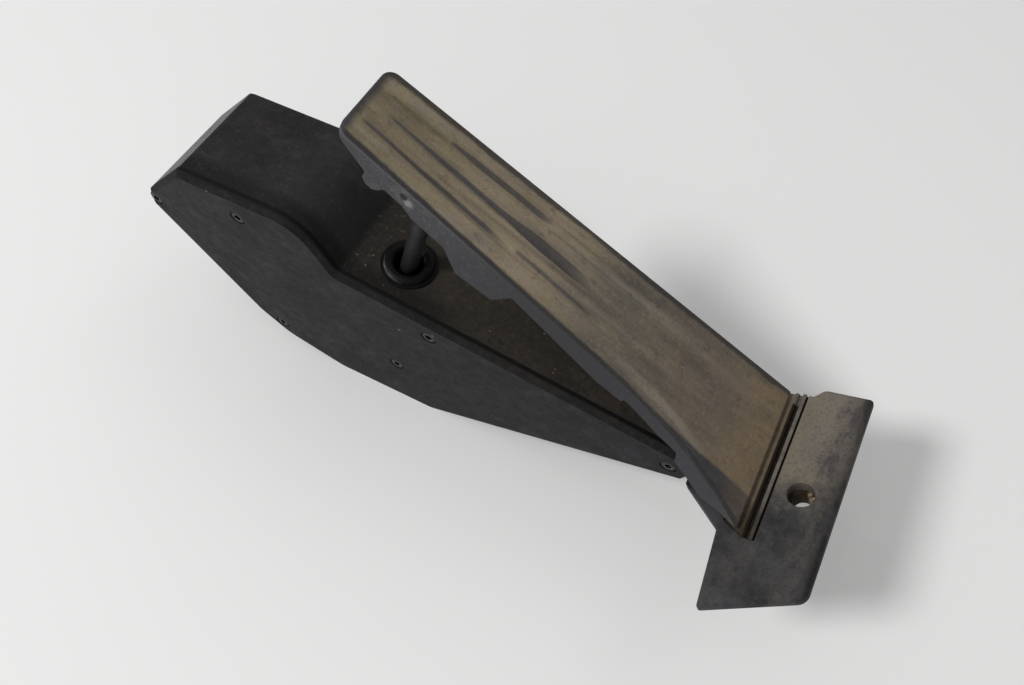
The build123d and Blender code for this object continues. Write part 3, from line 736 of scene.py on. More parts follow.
@dataclass(frozen=True)
class CoverFinish(Finish):
    """Blue-grey moulded cover with streaky scuffs, and a bevelled rim that is soiled up to the seam, whose gap is
    painted black as shade.
    """

    scuff: Colour = (0.047, 0.045, 0.051)
    chalk: Colour = (0.19, 0.185, 0.19)
    soil: Colour = (0.0075, 0.0066, 0.006)
    brown: Colour = (0.026, 0.022, 0.016)
    gap: Colour = (0.001, 0.001, 0.001)
    worn_reach: float = 0.7 * MM
    worn_amount: float = 0.35
    smoother: float = 0.07
    rougher: float = 0.1
    mottle: Cloud = Cloud(3.6 * MM, 6.0, 0.74, (0.8, 1.0, 1.2))
    pale_mottle: Layer = Layer(scuff, 0.48, 0.66, 0.24)
    dark_mottle: Layer = Layer(soil, 0.5, 0.3, 0.65)
    streak: Cloud = Cloud(10 * MM, 8.0, 0.72, (0.75, 1.0, 1.2))
    pale_streak: Layer = Layer(scuff, 0.46, 0.64, 0.26)
    scratch: Cloud = Cloud(1.6 * MM, pull=(0.08, 1.0, 1.3))
    pale_scratch: Layer = Layer(chalk, 0.66, 0.78, 0.1)
    patch: Cloud = Cloud(22 * MM)
    scratched: Ramp = Ramp(0.48, 0.62)
    rubbed_share: float = 0.6
    grit_amount: float = 0.6
    pale_grit: float = 0.6
    dark_grit: float = 0.7
    speck_pitch: float = 4.0 * MM
    speck_chance: float = 0.07
    speck_share: float = 0.5
    powder: Cloud = Cloud(2.4 * MM, 5.0, 0.72)
    rim_lean: Ramp = Ramp(0.2, 0.5)
    rim_powder: Ramp = Ramp(0.6, 0.4, 0.75, 1.0)
    side_depth: Ramp = Ramp(1.2 * MM, 2.0 * MM)
    side_lean: Ramp = Ramp(-0.5, 0.1)
    brown_soil: Layer = Layer(brown, 0.46, 0.66, 0.4)
    black_soil: Layer = Layer(gap, 12 * MM, -22 * MM, 0.6)
    # painted shade in the seam gap
    seam_gap_shade: Layer = Layer(gap, 2.45 * MM, 2.8 * MM)

    def scuffs(self, graph: Graph, looks: Looks, place: Socket, tone: Socket) -> Socket:
        """Colours the flat of the cover.

        Args:
            graph: the material's graph.
            looks: the shared effects and planes.
            place: the place on the part.
            tone: the slow change of tone from 0 to 1.

        Returns:
            The colour.
        """
        colour = graph.mix(tone, self.colour, self.pale)
        mottle = self.mottle.on(graph, place)
        colour = self.pale_mottle.over(graph, colour, mottle)
        colour = self.dark_mottle.over(graph, colour, mottle)
        colour = self.pale_streak.over(graph, colour, self.streak.on(graph, place))
        scratched = self.scratched.on(graph, self.patch.on(graph, place))
        colour = self.pale_scratch.over(graph, colour, self.scratch.on(graph, place), scratched)
        colour = graph.coat(colour, self.scuff, self.rubbed(graph, looks, place), self.rubbed_share)
        grit = graph.effect(looks.effects.grit, Place=place, Amount=self.grit_amount)
        colour = graph.coat(colour, self.scuff, grit["Pale"], self.pale_grit)
        colour = graph.coat(colour, self.soil, grit["Dark"], self.dark_grit)
        specks = graph.effect(
            looks.effects.specks, Place=place, Pitch=self.speck_pitch, Share=self.speck_chance
        )
        return graph.coat(colour, self.chalk, specks["Dots"], self.speck_share)

    def paint(self, graph: Graph, looks: Looks, tone: Socket) -> tuple[Socket, Socket]:
        """Colours the cover, with pale scuffs, a dirty rim and painted shade in the seam gap.

        Args:
            graph: the material's graph.
            looks: the shared effects and planes.
            tone: the slow change of tone from 0 to 1.

        Returns:
            The colour and the roughness.
        """
        place = looks.laid(graph, Lay.PART)
        along, depth, _ = graph.axes(place)
        upward = graph.axes(graph.facing())[2]
        colour = self.scuffs(graph, looks, place, tone)
        powder = self.powder.on(graph, place)
        rim = graph.both(self.rim_lean.on(graph, upward), self.rim_powder.on(graph, powder))
        side = graph.both(self.side_depth.on(graph, depth), self.side_lean.on(graph, upward))
        dirt = graph.calc("MAXIMUM", rim, side)
        soil = self.brown_soil.over(graph, self.soil, powder)
        soil = self.black_soil.over(graph, soil, along)
        colour = graph.mix(dirt, colour, soil)
        # Painted shade: the cover deeper than 2.45 mm from its face, inside the seam gap, is laid near black.
        colour = self.seam_gap_shade.over(graph, colour, depth)
        return colour, self.roughness(graph, graph.calc("MAXIMUM", tone, dirt))


@dataclass(frozen=True)
class FlangeDirt:
    """The dirt of the heel flange, dusty on its far half and cleaner on its near half, with painted shade at its
    outer end.
    """

    plastic: Colour = (0.0485, 0.0485, 0.0535)
    haze: Colour = (0.085, 0.073, 0.062)
    stain: Colour = (0.059, 0.054, 0.054)
    dust: Colour = (0.161, 0.14, 0.115)
    sand: Colour = (0.165, 0.143, 0.102)
    speck: Colour = (0.2, 0.18, 0.15)
    smear: Cloud = Cloud(15 * MM, 7.0, 0.68, (1.0, 0.6, 1.0))
    mottle: Cloud = Cloud(3.0 * MM, 6.0, 0.76)
    dusty: Ramp = Ramp(-14 * MM, 26 * MM)
    smear_swing: Spread = Spread(-0.75, 0.75)
    centred: Spread = Spread(-0.5, 0.5)
    mottle_gain: float = 1.1
    film: Ramp = Ramp(0.05, 1.0)
    outer_swing: float = 16 * MM
    outer_thin: Ramp = Ramp(2 * MM, 9 * MM, 1.0, 0.5)
    hazy: Ramp = Ramp(-14 * MM, 6 * MM, 0.28, 0.7)
    smeared: Layer = Layer(haze, 0.42, 0.66)
    lip_along: Band = Band(-9.6 * MM, -5.2 * MM, 1.4 * MM)
    lip_across: Ramp = Ramp(0.0, 10 * MM)
    lip_mottle: Ramp = Ramp(0.6, 0.4, 0.25, 0.9)
    blot: Cloud = Cloud(11 * MM, 7.0, 0.72, (1.4, 0.8, 1.0))
    blotted: Layer = Layer(stain, 0.46, 0.6)
    blot_outer: Ramp = Ramp(0.0, 7 * MM, 0.15, 0.95)
    hole_along: Band = Band(-7 * MM, 3 * MM, 1.5 * MM)
    hole_across: Band = Band(9 * MM, 18 * MM, 2 * MM)
    hole_share: float = 0.4
    crumb_pitch: float = 1.4 * MM
    crumb_chance: float = 0.9
    crumb_share: Spread = Spread(0.06, 0.9)
    grit_amount: float = 0.75
    pale_grit: Spread = Spread(0.12, 0.45)
    dark_grit: float = 0.5
    # painted shade at the outer end of the flange, where its rounded edge turns from the light
    rim_shade_cloud: Cloud = Cloud(7 * MM, 4.0, pull=(1.0, 0.5, 1.0))
    rim: Ramp = Ramp(8.1 * MM, 12.1 * MM)
    rim_shade_break: Ramp = Ramp(0.3, 0.7, 0.3, 1.0)
    under_foot: Layer = Layer(plastic, -22 * MM, -25 * MM)
    start: Ramp = Ramp(-42 * MM, -34 * MM)

    def powder(self, graph: Graph, looks: Looks, place: Socket, below: Socket) -> Socket:
        """Lays sand and crumbs beside the bolt hole.

        Args:
            graph: the material's graph.
            looks: the shared effects and planes.
            place: the place on the flange.
            below: the colour below.

        Returns:
            The colour.
        """
        along, across, _ = graph.axes(place)
        crumbs = graph.effect(
            looks.effects.specks, Place=place, Pitch=self.crumb_pitch, Share=self.crumb_chance
        )
        by_hole = graph.both(self.hole_along.on(graph, along), self.hole_across.on(graph, across))
        colour = graph.coat(below, self.sand, by_hole, self.hole_share)
        return graph.coat(colour, self.speck, crumbs["Dots"], self.crumb_share.on(graph, by_hole))

    def paint(self, graph: Graph, looks: Looks, tone: Socket, base: Finish) -> tuple[Socket, Socket]:
        """Colours the flange.

        Args:
            graph: the material's graph.
            looks: the shared effects and planes.
            tone: the slow change of tone from 0 to 1.
            base: the finish of the whole moulding.

        Returns:
            The colour, and a mask that is 1 on the flange.
        """
        place = looks.laid(graph, Lay.HEEL)
        along, across, _ = graph.axes(place)
        smear = self.smear.on(graph, place)
        mottle = self.mottle.on(graph, place)
        spread = graph.calc("ADD", self.dusty.on(graph, across), self.smear_swing.on(graph, smear))
        mottled = graph.calc("MULTIPLY_ADD", self.centred.on(graph, mottle), self.mottle_gain, spread)
        outer = graph.calc("MULTIPLY_ADD", self.centred.on(graph, smear), self.outer_swing, along)
        film = graph.both(self.film.on(graph, mottled), self.outer_thin.on(graph, outer))
        colour = graph.mix(tone, self.plastic, base.pale)
        colour = self.smeared.over(graph, colour, smear, self.hazy.on(graph, across))
        colour = graph.mix(film, colour, self.dust)
        beside = graph.both(self.lip_along.on(graph, along), self.lip_across.on(graph, across))
        colour = graph.coat(colour, self.sand, beside, self.lip_mottle.on(graph, mottle))
        blot = self.blot.on(graph, place)
        colour = self.blotted.over(graph, colour, blot, self.blot_outer.on(graph, outer))
        colour = self.powder(graph, looks, place, colour)
        grit = graph.effect(looks.effects.grit, Place=place, Amount=self.grit_amount)
        colour = graph.coat(colour, self.sand, grit["Pale"], self.pale_grit.on(graph, film))
        colour = graph.coat(colour, base.colour, grit["Dark"], self.dark_grit)
        # Painted shade: past 8 mm out from the bolt, where the rounded edge turns from the light, the flange is
        # laid back to black plastic in uneven patches.
        rim_shaded = self.rim_shade_break.on(graph, self.rim_shade_cloud.on(graph, place))
        colour = graph.coat(colour, base.colour, self.rim.on(graph, along), rim_shaded)
        colour = self.under_foot.over(graph, colour, along)
        return colour, self.start.on(graph, along)


@dataclass(frozen=True)
class HousingFinish(Finish):
    """Black moulding with a soiled face under the tread and a dusty heel flange."""

    soil: Colour = (0.0315, 0.025, 0.019)
    olive: Colour = (0.0262, 0.024, 0.0156)
    straw: Colour = (0.085, 0.07, 0.042)
    # pale bloom of the moulding, also the colour of the painted light by the step
    pale_bloom_and_light: Colour = (0.08, 0.078, 0.078)
    gloom: Colour = (0.004, 0.0037, 0.0036)
    sheen: Colour = (0.138, 0.14, 0.14)
    flange: FlangeDirt = FlangeDirt()
    worn_reach: float = 0.7 * MM
    worn_amount: float = 0.4
    smoother: float = 0.05
    rougher: float = 0.1
    dust_cover: float = 1.0
    grit_amount: float = 0.6
    scrub: Cloud = Cloud(12 * MM, 8.0, 0.72, (0.6, 1.2, 1.0))
    bloomed: Layer = Layer(pale_bloom_and_light, 0.48, 0.68, 0.16)
    behind_step: Ramp = Ramp(-55.6 * MM, -54.2 * MM)
    # painted light: the top is lifted paler towards the step, and on the step's wall
    painted_light_near_step: Layer = Layer(pale_bloom_and_light, -100 * MM, -66 * MM, 0.1)
    face_film: Spread = Spread(0.5, 1.0)
    face_lean: Ramp = Ramp(0.6, 0.95)
    face_patch: Cloud = Cloud(11 * MM, 6.0, 0.66)
    face_mottle: Cloud = Cloud(2.4 * MM, 6.0, 0.78)
    olive_patch: Layer = Layer(olive, 0.42, 0.62)
    # painted shade towards the crease at the foot of the step
    crease: Ramp = Ramp(-26 * MM, -46 * MM)
    crease_shade_share: float = 0.55
    black_mottle: Ramp = Ramp(0.5, 0.66)
    black_share: float = 0.7
    straw_mottle: Layer = Layer(straw, 0.47, 0.32)
    straw_crease: Spread = Spread(0.3, 0.7)
    gloom_depth: Layer = Layer(gloom, 13.4 * MM, 7.4 * MM, 0.7)
    gloom_along: Ramp = Ramp(2 * MM, -16 * MM)
    speck_share: Spread = Spread(0.2, 0.7)
    rubbed_share: float = 0.5
    pale_grit: float = 0.3
    # painted highlight on the sloped face of the nose
    nose_back: Ramp = Ramp(-0.35, -0.6)
    nose_lean: Ramp = Ramp(0.3, 0.6)
    nose_along: Ramp = Ramp(-110 * MM, -120 * MM)
    nose_highlight_break: Ramp = Ramp(0.35, 0.6, 0.75, 1.0)
    # painted shade along the seam gap beside the cover
    seam: Ramp = Ramp(4.4 * MM, 3.95 * MM)
    gusset_depth: Ramp = Ramp(3.5 * MM, 3.2 * MM)
    gusset_lean: Ramp = Ramp(0.95, 0.8)

    def face(self, graph: Graph, place: Socket, along: Socket) -> Socket:
        """Colours the soil on the face under the tread, with painted shade towards the crease at the foot of the
        step.

        Args:
            graph: the material's graph.
            place: the place on the part.
            along: the distance along the part.

        Returns:
            The colour of the soil.
        """
        mottle = self.face_mottle.on(graph, place)
        crease = self.crease.on(graph, along)
        soil = self.olive_patch.over(graph, self.soil, self.face_patch.on(graph, place))
        # Painted shade: the soil darkens towards the crease at the foot of the step.
        soil = graph.coat(soil, self.colour, crease, self.crease_shade_share)
        soil = graph.coat(soil, self.colour, self.black_mottle.on(graph, mottle), self.black_share)
        return self.straw_mottle.over(graph, soil, mottle, self.straw_crease.on(graph, crease))

    def paint(self, graph: Graph, looks: Looks, tone: Socket) -> tuple[Socket, Socket]:
        """Colours the moulding by where each face lies.

        Args:
            graph: the material's graph.
            looks: the shared effects and planes.
            tone: the slow change of tone from 0 to 1.

        Returns:
            The colour and the roughness.
        """
        place = looks.laid(graph, Lay.PART)
        along, depth, _ = graph.axes(place)
        rightward, _, upward = graph.axes(graph.facing())
        dust = graph.effect(looks.effects.dust, Place=place, Facing=graph.facing(), Cover=self.dust_cover)
        grit = graph.effect(looks.effects.grit, Place=place, Amount=self.grit_amount)
        scrub = self.scrub.on(graph, place)
        behind = self.behind_step.on(graph, along)
        colour = graph.mix(tone, self.colour, self.pale)
        colour = self.bloomed.over(graph, colour, scrub)
        # Painted light: the top is lifted paler towards the step, and on the step's wall, as if lit there.
        colour = self.painted_light_near_step.over(graph, colour, along, graph.outside(behind))
        lies = self.face_film.on(graph, dust["Film"])
        soiled = graph.both(lies, behind, self.face_lean.on(graph, upward))
        colour = graph.mix(soiled, colour, self.face(graph, place, along))
        colour = self.gloom_depth.over(graph, colour, depth, self.gloom_along.on(graph, along))
        colour = graph.coat(colour, self.flange.speck, dust["Specks"], self.speck_share.on(graph, behind))
        heel, on_heel = self.flange.paint(graph, looks, tone, self)
        off_heel = graph.outside(on_heel)
        colour = graph.mix(on_heel, colour, heel)
        colour = graph.coat(colour, self.flange.haze, self.rubbed(graph, looks, place), self.rubbed_share)
        colour = graph.coat(colour, self.flange.haze, grit["Pale"], self.pale_grit)
        # Painted highlight: the sloped face of the nose is laid pale grey, a grazing reflection of light from the
        # left, broken up by the scrub cloud.
        sloped = graph.both(self.nose_back.on(graph, rightward), self.nose_lean.on(graph, upward))
        nose = graph.both(sloped, self.nose_along.on(graph, along))
        colour = graph.coat(colour, self.sheen, nose, self.nose_highlight_break.on(graph, scrub))
        # Painted shade: the moulding beside the cover is darkened almost to black, in the seam gap.
        seam = graph.both(self.seam.on(graph, depth), off_heel)
        colour = graph.mix(seam, colour, self.colour, Blend.TINT)
        gusset = graph.both(self.gusset_depth.on(graph, depth), self.gusset_lean.on(graph, upward), off_heel)
        colour = graph.mix(gusset, colour, self.flange.plastic)
        return colour, self.roughness(graph, tone)


@dataclass(frozen=True)
class WornLine:
    """One groove of the tread that shoes keep clear of dust, in millimetres up and across the tread."""

    top_up: float
    top_y: float
    foot_up: float
    foot_y: float
    half: float
    depth: float
    belly: float = 0.0
    thin_top: float = 0.6
    widening: Ramp = Ramp(0.0, 0.35)
    swelling: Ramp = Ramp(0.5, 0.7)
    narrowing: Ramp = Ramp(1.02, 0.82)
    wander: float = 1.3 * MM
    core: Ramp = Ramp(-0.45 * MM, 0.45 * MM)
    # painted shade: a soft halo beside the line, for the flanks of the raised bands
    shade_halo: Ramp = Ramp(-2.4 * MM, 0.2 * MM)
    shade_halo_share: float = 0.28
    top_fade: Ramp = Ramp(0.0, 0.06)
    foot_fade: Ramp = Ramp(1.0, 0.8)
    gain: Ramp = Ramp(0.05, 0.5, 0.9, 1.0)

    def mask(self, graph: Graph, up: Socket, across: Socket, warp: Socket) -> Socket:
        """Shades the line, thin at its top and, if it has a belly, widest in its lower half, with a soft halo of
        painted shade beside it.

        Args:
            graph: the material's graph.
            up: the distance up the tread from the hinge.
            across: the distance across from the cover's face.
            warp: a value round 0 that makes its edges uneven.

        Returns:
            A mask that is as strong as its depth along the line.
        """
        slope = (self.top_y - self.foot_y) / (self.top_up - self.foot_up)
        line = graph.calc("MULTIPLY_ADD", up, slope, (self.foot_y - slope * self.foot_up) * MM)
        off = graph.calc("ABSOLUTE", graph.calc("SUBTRACT", across, line))
        fall = (self.top_up - self.foot_up) * MM
        share = graph.calc("MULTIPLY_ADD", up, -1.0 / fall, self.top_up * MM / fall)
        plain = 1 - self.belly
        even = graph.scale(self.widening.on(graph, share), self.thin_top * plain, plain)
        swollen = graph.calc("MULTIPLY_ADD", self.swelling.on(graph, share), self.belly, even)
        width = graph.both(swollen, self.narrowing.on(graph, share), self.half * MM)
        uneven = graph.calc("MULTIPLY_ADD", warp, self.wander, width)
        spare = graph.calc("SUBTRACT", uneven, off)
        # Painted shade: the halo thins the dust beside the line, for the shading on the flanks of the raised
        # bands.
        shade_halo = graph.both(self.shade_halo.on(graph, spare), self.shade_halo_share)
        inside = graph.calc("MAXIMUM", self.core.on(graph, spare), shade_halo)
        ends = graph.both(self.top_fade.on(graph, share), self.foot_fade.on(graph, share))
        return graph.both(inside, ends, self.gain.on(graph, share), self.depth)


@dataclass(frozen=True)
class TreadFinish(Finish):
    """Grey moulding with trodden brown dust on its tread, worn thin in the grooves and at the rim."""

    band: Colour = (0.257, 0.205, 0.142)
    olive: Colour = (0.193, 0.154, 0.095)
    straw: Colour = (0.234, 0.193, 0.112)
    middle: Colour = (0.126, 0.109, 0.085)
    low: Colour = (0.134, 0.107, 0.08)
    foot: Colour = (0.177, 0.129, 0.077)
    powder: Colour = (0.242, 0.211, 0.174)
    grime: Colour = (0.039, 0.0322, 0.0258)
    bare: Colour = (0.037, 0.035, 0.036)
    edge: Colour = (0.024, 0.023, 0.024)
    shade: Colour = (0.034, 0.0335, 0.037)
    blue: Colour = (0.042, 0.043, 0.0495)
    scuff: Colour = (0.14, 0.139, 0.142)
    chalk: Colour = (0.36, 0.35, 0.33)
    smoother: float = 0.05
    rougher: float = 0.08
    length: float = 191.2 * MM
    far_y: float = 45.0 * MM
    bend_up: float = 69.0 * MM
    bend_y: float = 3.9 * MM
    taper: float = 0.0826
    flare: float = 2.976
    lines: tuple[WornLine, ...] = (
        WornLine(188.0, 22.2, 122.0, 18.1, 1.0, 0.9),
        WornLine(183.0, 30.0, 84.0, 25.4, 2.5, 0.9, belly=0.55),
        WornLine(161.0, 37.1, 112.0, 36.5, 1.3, 0.85),
        WornLine(122.0, 18.7, 84.0, 16.6, 0.8, 0.75),
        WornLine(116.0, 34.2, 62.0, 33.2, 0.6, 0.45),
        WornLine(112.0, 38.0, 58.0, 37.6, 0.35, 0.45),
    )
    zones: tuple[Layer, ...] = (
        Layer(olive, 135 * MM, 178 * MM),
        Layer(middle, 112 * MM, 76 * MM),
        Layer(low, 72 * MM, 44 * MM),
        Layer(foot, 32 * MM, 8 * MM),
    )
    bead_near: Band = Band(3.6 * MM, 7.0 * MM, 1.2 * MM)
    bead_up: Band = Band(30 * MM, 74 * MM, 8 * MM)
    bead_share: float = 0.6
    ridge: Cloud = Cloud(5.0 * MM, 1.0, 0.4, (0.04, 1.0, 1.0))
    ridge_up: Ramp = Ramp(25 * MM, 85 * MM, 0.25, 1.0)
    dark_ridge: Layer = Layer(grime, 0.48, 0.26, 0.45)
    pale_ridge: Layer = Layer(powder, 0.52, 0.7, 0.55)
    patch: Cloud = Cloud(9 * MM, 5.0, 0.66, (0.6, 1.0, 1.0))
    straw_patch: Layer = Layer(straw, 0.5, 0.64, 0.55)
    straw_up: Ramp = Ramp(40 * MM, 100 * MM)
    mottle: Cloud = Cloud(5.0 * MM, 7.0, 0.78, (0.8, 1.0, 1.0))
    olive_mottle: Layer = Layer(olive, 0.52, 0.7, 0.55)
    dark_mottle: Layer = Layer(grime, 0.47, 0.32, 0.55)
    streak: Cloud = Cloud(5.5 * MM, 4.0, 0.6, (0.2, 1.0, 1.0))
    streak_film: Ramp = Ramp(0.3, 0.55, 0.75, 1.0)
    warp: Spread = Spread(-0.5, 0.5)
    blotch: Cloud = Cloud(13 * MM, 7.0, 0.66, (0.55, 1.0, 1.0))
    blotch_film: Ramp = Ramp(0.32, 0.56, 0.7, 1.0)
    ragged: Spread = Spread(-2.2 * MM, 2.2 * MM)
    near_ragged: float = 0.4
    near_film: Ramp = Ramp(0.5 * MM, 2.0 * MM)
    near_rim: Ramp = Ramp(2.0 * MM, 1.1 * MM)
    far_ragged: float = 0.9
    far_film: Ramp = Ramp(1.4 * MM, 3.0 * MM, 0.15, 1.0)
    far_rim: Ramp = Ramp(3.0 * MM, 1.6 * MM)
    top_ragged: float = 0.8
    top_film: Ramp = Ramp(0.8 * MM, 4.6 * MM)
    wiped_slant: float = -0.08
    wiped_ragged: float = 0.7
    wiped_y: Ramp = Ramp(-1.4 * MM, -3.0 * MM)
    wiped_up: Ramp = Ramp(56 * MM, 46 * MM)
    wiped_foot: Ramp = Ramp(6 * MM, 18 * MM, 0.7, 1.0)
    rim_share: float = 0.85
    smudge: Cloud = Cloud(5 * MM, 7.0, 0.7, (1.0, 0.6, 1.0))
    dark_smudge: Layer = Layer(grime, 0.6, 0.72, 0.7)
    smudge_up: Ramp = Ramp(95 * MM, 55 * MM)
    tread_grit: float = 0.8
    pale_grit: Spread = Spread(0.1, 0.5)
    dark_grit: Spread = Spread(0.12, 0.3)
    top_level: Ramp = Ramp(-1.5 * MM, -0.9 * MM)
    shade_up: Ramp = Ramp(158 * MM, 92 * MM, 0.35, 0.9)
    blue_foot: Layer = Layer(blue, 60 * MM, 30 * MM, 0.9)
    chalk_cloud: Cloud = Cloud(5 * MM, 7.0, 0.76)
    chalky: Ramp = Ramp(0.5, 0.7)
    chalk_up: Ramp = Ramp(112 * MM, 165 * MM)
    lip_level: Ramp = Ramp(-3.2 * MM, -1.4 * MM)
    lip_up: Ramp = Ramp(110 * MM, 150 * MM)
    scuff_share: float = 0.3
    skirt_grit: float = 0.6
    pale_up: Ramp = Ramp(90 * MM, 160 * MM, 0.16, 0.6)
    dark_share: float = 0.6
    dusty_foot: Layer = Layer(foot, 16 * MM, 4 * MM)
    foot_chalk: Spread = Spread(0.15, 0.6)
    recess: tuple[float, float] = (161.3 * MM, -5.4 * MM)
    recess_halo: Layer = Layer(scuff, 7 * MM, 2 * MM)
    halo_chalk: Spread = Spread(0.2, 0.8)
    # painted shade inside the small round recess
    recess_shade: Layer = Layer(edge, 1.9 * MM, 1.14 * MM)
    spill: tuple[float, float] = (158.8 * MM, -6.6 * MM)
    spilt: Layer = Layer(chalk, 2.7 * MM, 0.7 * MM)
    spill_chalk: Spread = Spread(0.45, 1.0)

    def border(self, graph: Graph, up: Socket, across: Socket) -> tuple[Socket, Socket, Socket]:
        """Measures how far inside the tread's outline a place lies.

        Args:
            graph: the material's graph.
            up: the distance up the tread from the hinge.
            across: the distance across from the cover's face.

        Returns:
            The distance from the near edge, from the far edge and from the top end.
        """
        past = graph.calc("SUBTRACT", up, self.bend_up)
        below = graph.calc("MINIMUM", past, 0.0)
        bowed = graph.calc("MULTIPLY", graph.calc("MULTIPLY", below, below), -self.flare)
        line = graph.calc("MULTIPLY_ADD", past, self.taper, graph.calc("ADD", bowed, self.bend_y))
        near = graph.calc("SUBTRACT", across, line)
        return near, graph.calc("SUBTRACT", self.far_y, across), graph.calc("SUBTRACT", self.length, up)

    def soil(self, graph: Graph, place: Socket, up: Socket, near: Socket) -> Socket:
        """Colours the dust along the tread.

        Args:
            graph: the material's graph.
            place: the place on the tread's plane.
            up: the distance up the tread from the hinge.
            near: the distance from the near edge.

        Returns:
            The colour of the dust.
        """
        colour: Feed = self.band
        for zone in self.zones:
            colour = zone.over(graph, colour, up)
        bead = graph.both(self.bead_near.on(graph, near), self.bead_up.on(graph, up))
        colour = graph.coat(colour, self.powder, bead, self.bead_share)
        ridge = self.ridge.on(graph, place)
        lined = self.ridge_up.on(graph, up)
        colour = self.dark_ridge.over(graph, colour, ridge, lined)
        colour = self.pale_ridge.over(graph, colour, ridge, lined)
        patch = self.patch.on(graph, place)
        colour = self.straw_patch.over(graph, colour, patch, self.straw_up.on(graph, up))
        mottle = self.mottle.on(graph, place)
        colour = self.olive_mottle.over(graph, colour, mottle)
        return self.dark_mottle.over(graph, colour, mottle)

    def film(self, graph: Graph, place: Socket, up: Socket, across: Socket) -> tuple[Socket, Socket]:
        """Finds where dust lies on the tread.

        Args:
            graph: the material's graph.
            place: the place on the tread's plane.
            up: the distance up the tread from the hinge.
            across: the distance across from the cover's face.

        Returns:
            A mask of the dust, and a mask of the dark near and far edges.
        """
        near, far, top = self.border(graph, up, across)
        streak = self.streak.on(graph, place)
        blotch = self.blotch.on(graph, place)
        ragged = self.ragged.on(graph, blotch)
        film = graph.both(self.blotch_film.on(graph, blotch), self.streak_film.on(graph, streak))
        warp = self.warp.on(graph, streak)
        for worn in self.lines:
            film = graph.both(film, graph.outside(worn.mask(graph, up, across, warp)))
        uneven_near = graph.calc("MULTIPLY_ADD", ragged, self.near_ragged, near)
        uneven_far = graph.calc("MULTIPLY_ADD", ragged, self.far_ragged, far)
        uneven_top = graph.calc("MULTIPLY_ADD", ragged, self.top_ragged, top)
        film = graph.both(film, self.near_film.on(graph, uneven_near), self.far_film.on(graph, uneven_far))
        film = graph.both(film, self.top_film.on(graph, uneven_top))
        slant = graph.calc("MULTIPLY_ADD", up, self.wiped_slant, across)
        wiped = graph.both(
            self.wiped_y.on(graph, graph.calc("MULTIPLY_ADD", ragged, self.wiped_ragged, slant)),
            self.wiped_up.on(graph, graph.calc("ADD", up, ragged)),
            self.wiped_foot.on(graph, up),
        )
        rim = graph.calc("MAXIMUM", self.near_rim.on(graph, near), self.far_rim.on(graph, uneven_far))
        return graph.both(film, graph.outside(wiped)), rim

    def paint(self, graph: Graph, looks: Looks, tone: Socket) -> tuple[Socket, Socket]:
        """Colours the tread and its skirts.

        Args:
            graph: the material's graph.
            looks: the shared effects and planes.
            tone: the slow change of tone from 0 to 1.

        Returns:
            The colour and the roughness.
        """
        place = looks.laid(graph, Lay.TREAD)
        down, across, above = graph.axes(place)
        up = graph.calc("MULTIPLY", down, -1.0)
        film, rim = self.film(graph, place, up, across)
        near = self.border(graph, up, across)[0]
        plain = graph.mix(tone, self.bare, self.colour)
        plain = graph.coat(plain, self.edge, rim, self.rim_share)
        tread = graph.mix(film, plain, self.soil(graph, place, up, near))
        smudge = self.smudge.on(graph, place)
        tread = self.dark_smudge.over(graph, tread, smudge, self.smudge_up.on(graph, up))
        grit = graph.effect(looks.effects.grit, Place=place, Amount=self.tread_grit)
        tread = graph.coat(tread, self.powder, grit["Pale"], self.pale_grit.on(graph, film))
        tread = graph.coat(tread, self.grime, grit["Dark"], self.dark_grit.on(graph, film))
        sides = self.skirt(graph, looks, place, tone)
        colour = graph.mix(self.top_level.on(graph, above), sides, tread)
        return colour, self.roughness(graph, tone)

    def skirt(self, graph: Graph, looks: Looks, place: Socket, tone: Socket) -> Socket:
        """Colours the sides under the tread, with painted shade that deepens towards the foot, and rubbed pale
        towards the top end.

        Args:
            graph: the material's graph.
            looks: the shared effects and planes.
            place: the place on the tread's plane.
            tone: the slow change of tone from 0 to 1.

        Returns:
            The colour of the sides.
        """
        down, _, above = graph.axes(place)
        up = graph.calc("MULTIPLY", down, -1.0)
        colour = graph.mix(tone, self.colour, self.pale)
        # Painted shade: the skirt darkens towards its foot.
        colour = graph.coat(colour, self.shade, self.shade_up.on(graph, up))
        colour = self.blue_foot.over(graph, colour, up)
        chalk = self.chalky.on(graph, self.chalk_cloud.on(graph, place))
        lip = graph.both(self.lip_level.on(graph, above), self.lip_up.on(graph, up))
        chalky = graph.both(chalk, self.chalk_up.on(graph, up))
        colour = graph.coat(colour, self.scuff, graph.calc("MAXIMUM", chalky, lip), self.scuff_share)
        grit = graph.effect(looks.effects.grit, Place=place, Amount=self.skirt_grit)
        colour = graph.coat(colour, self.scuff, grit["Pale"], self.pale_up.on(graph, up))
        colour = graph.coat(colour, self.edge, grit["Dark"], self.dark_share)
        colour = self.dusty_foot.over(graph, colour, up, self.foot_chalk.on(graph, chalk))
        hole = graph.away(up, above, self.recess)
        splash = graph.away(up, above, self.spill)
        colour = self.recess_halo.over(graph, colour, hole, self.halo_chalk.on(graph, chalk))
        colour = self.spilt.over(graph, colour, splash, self.spill_chalk.on(graph, chalk))
        # Painted shade: a dark disc inside the small round recess of the skirt.
        return self.recess_shade.over(graph, colour, hole)


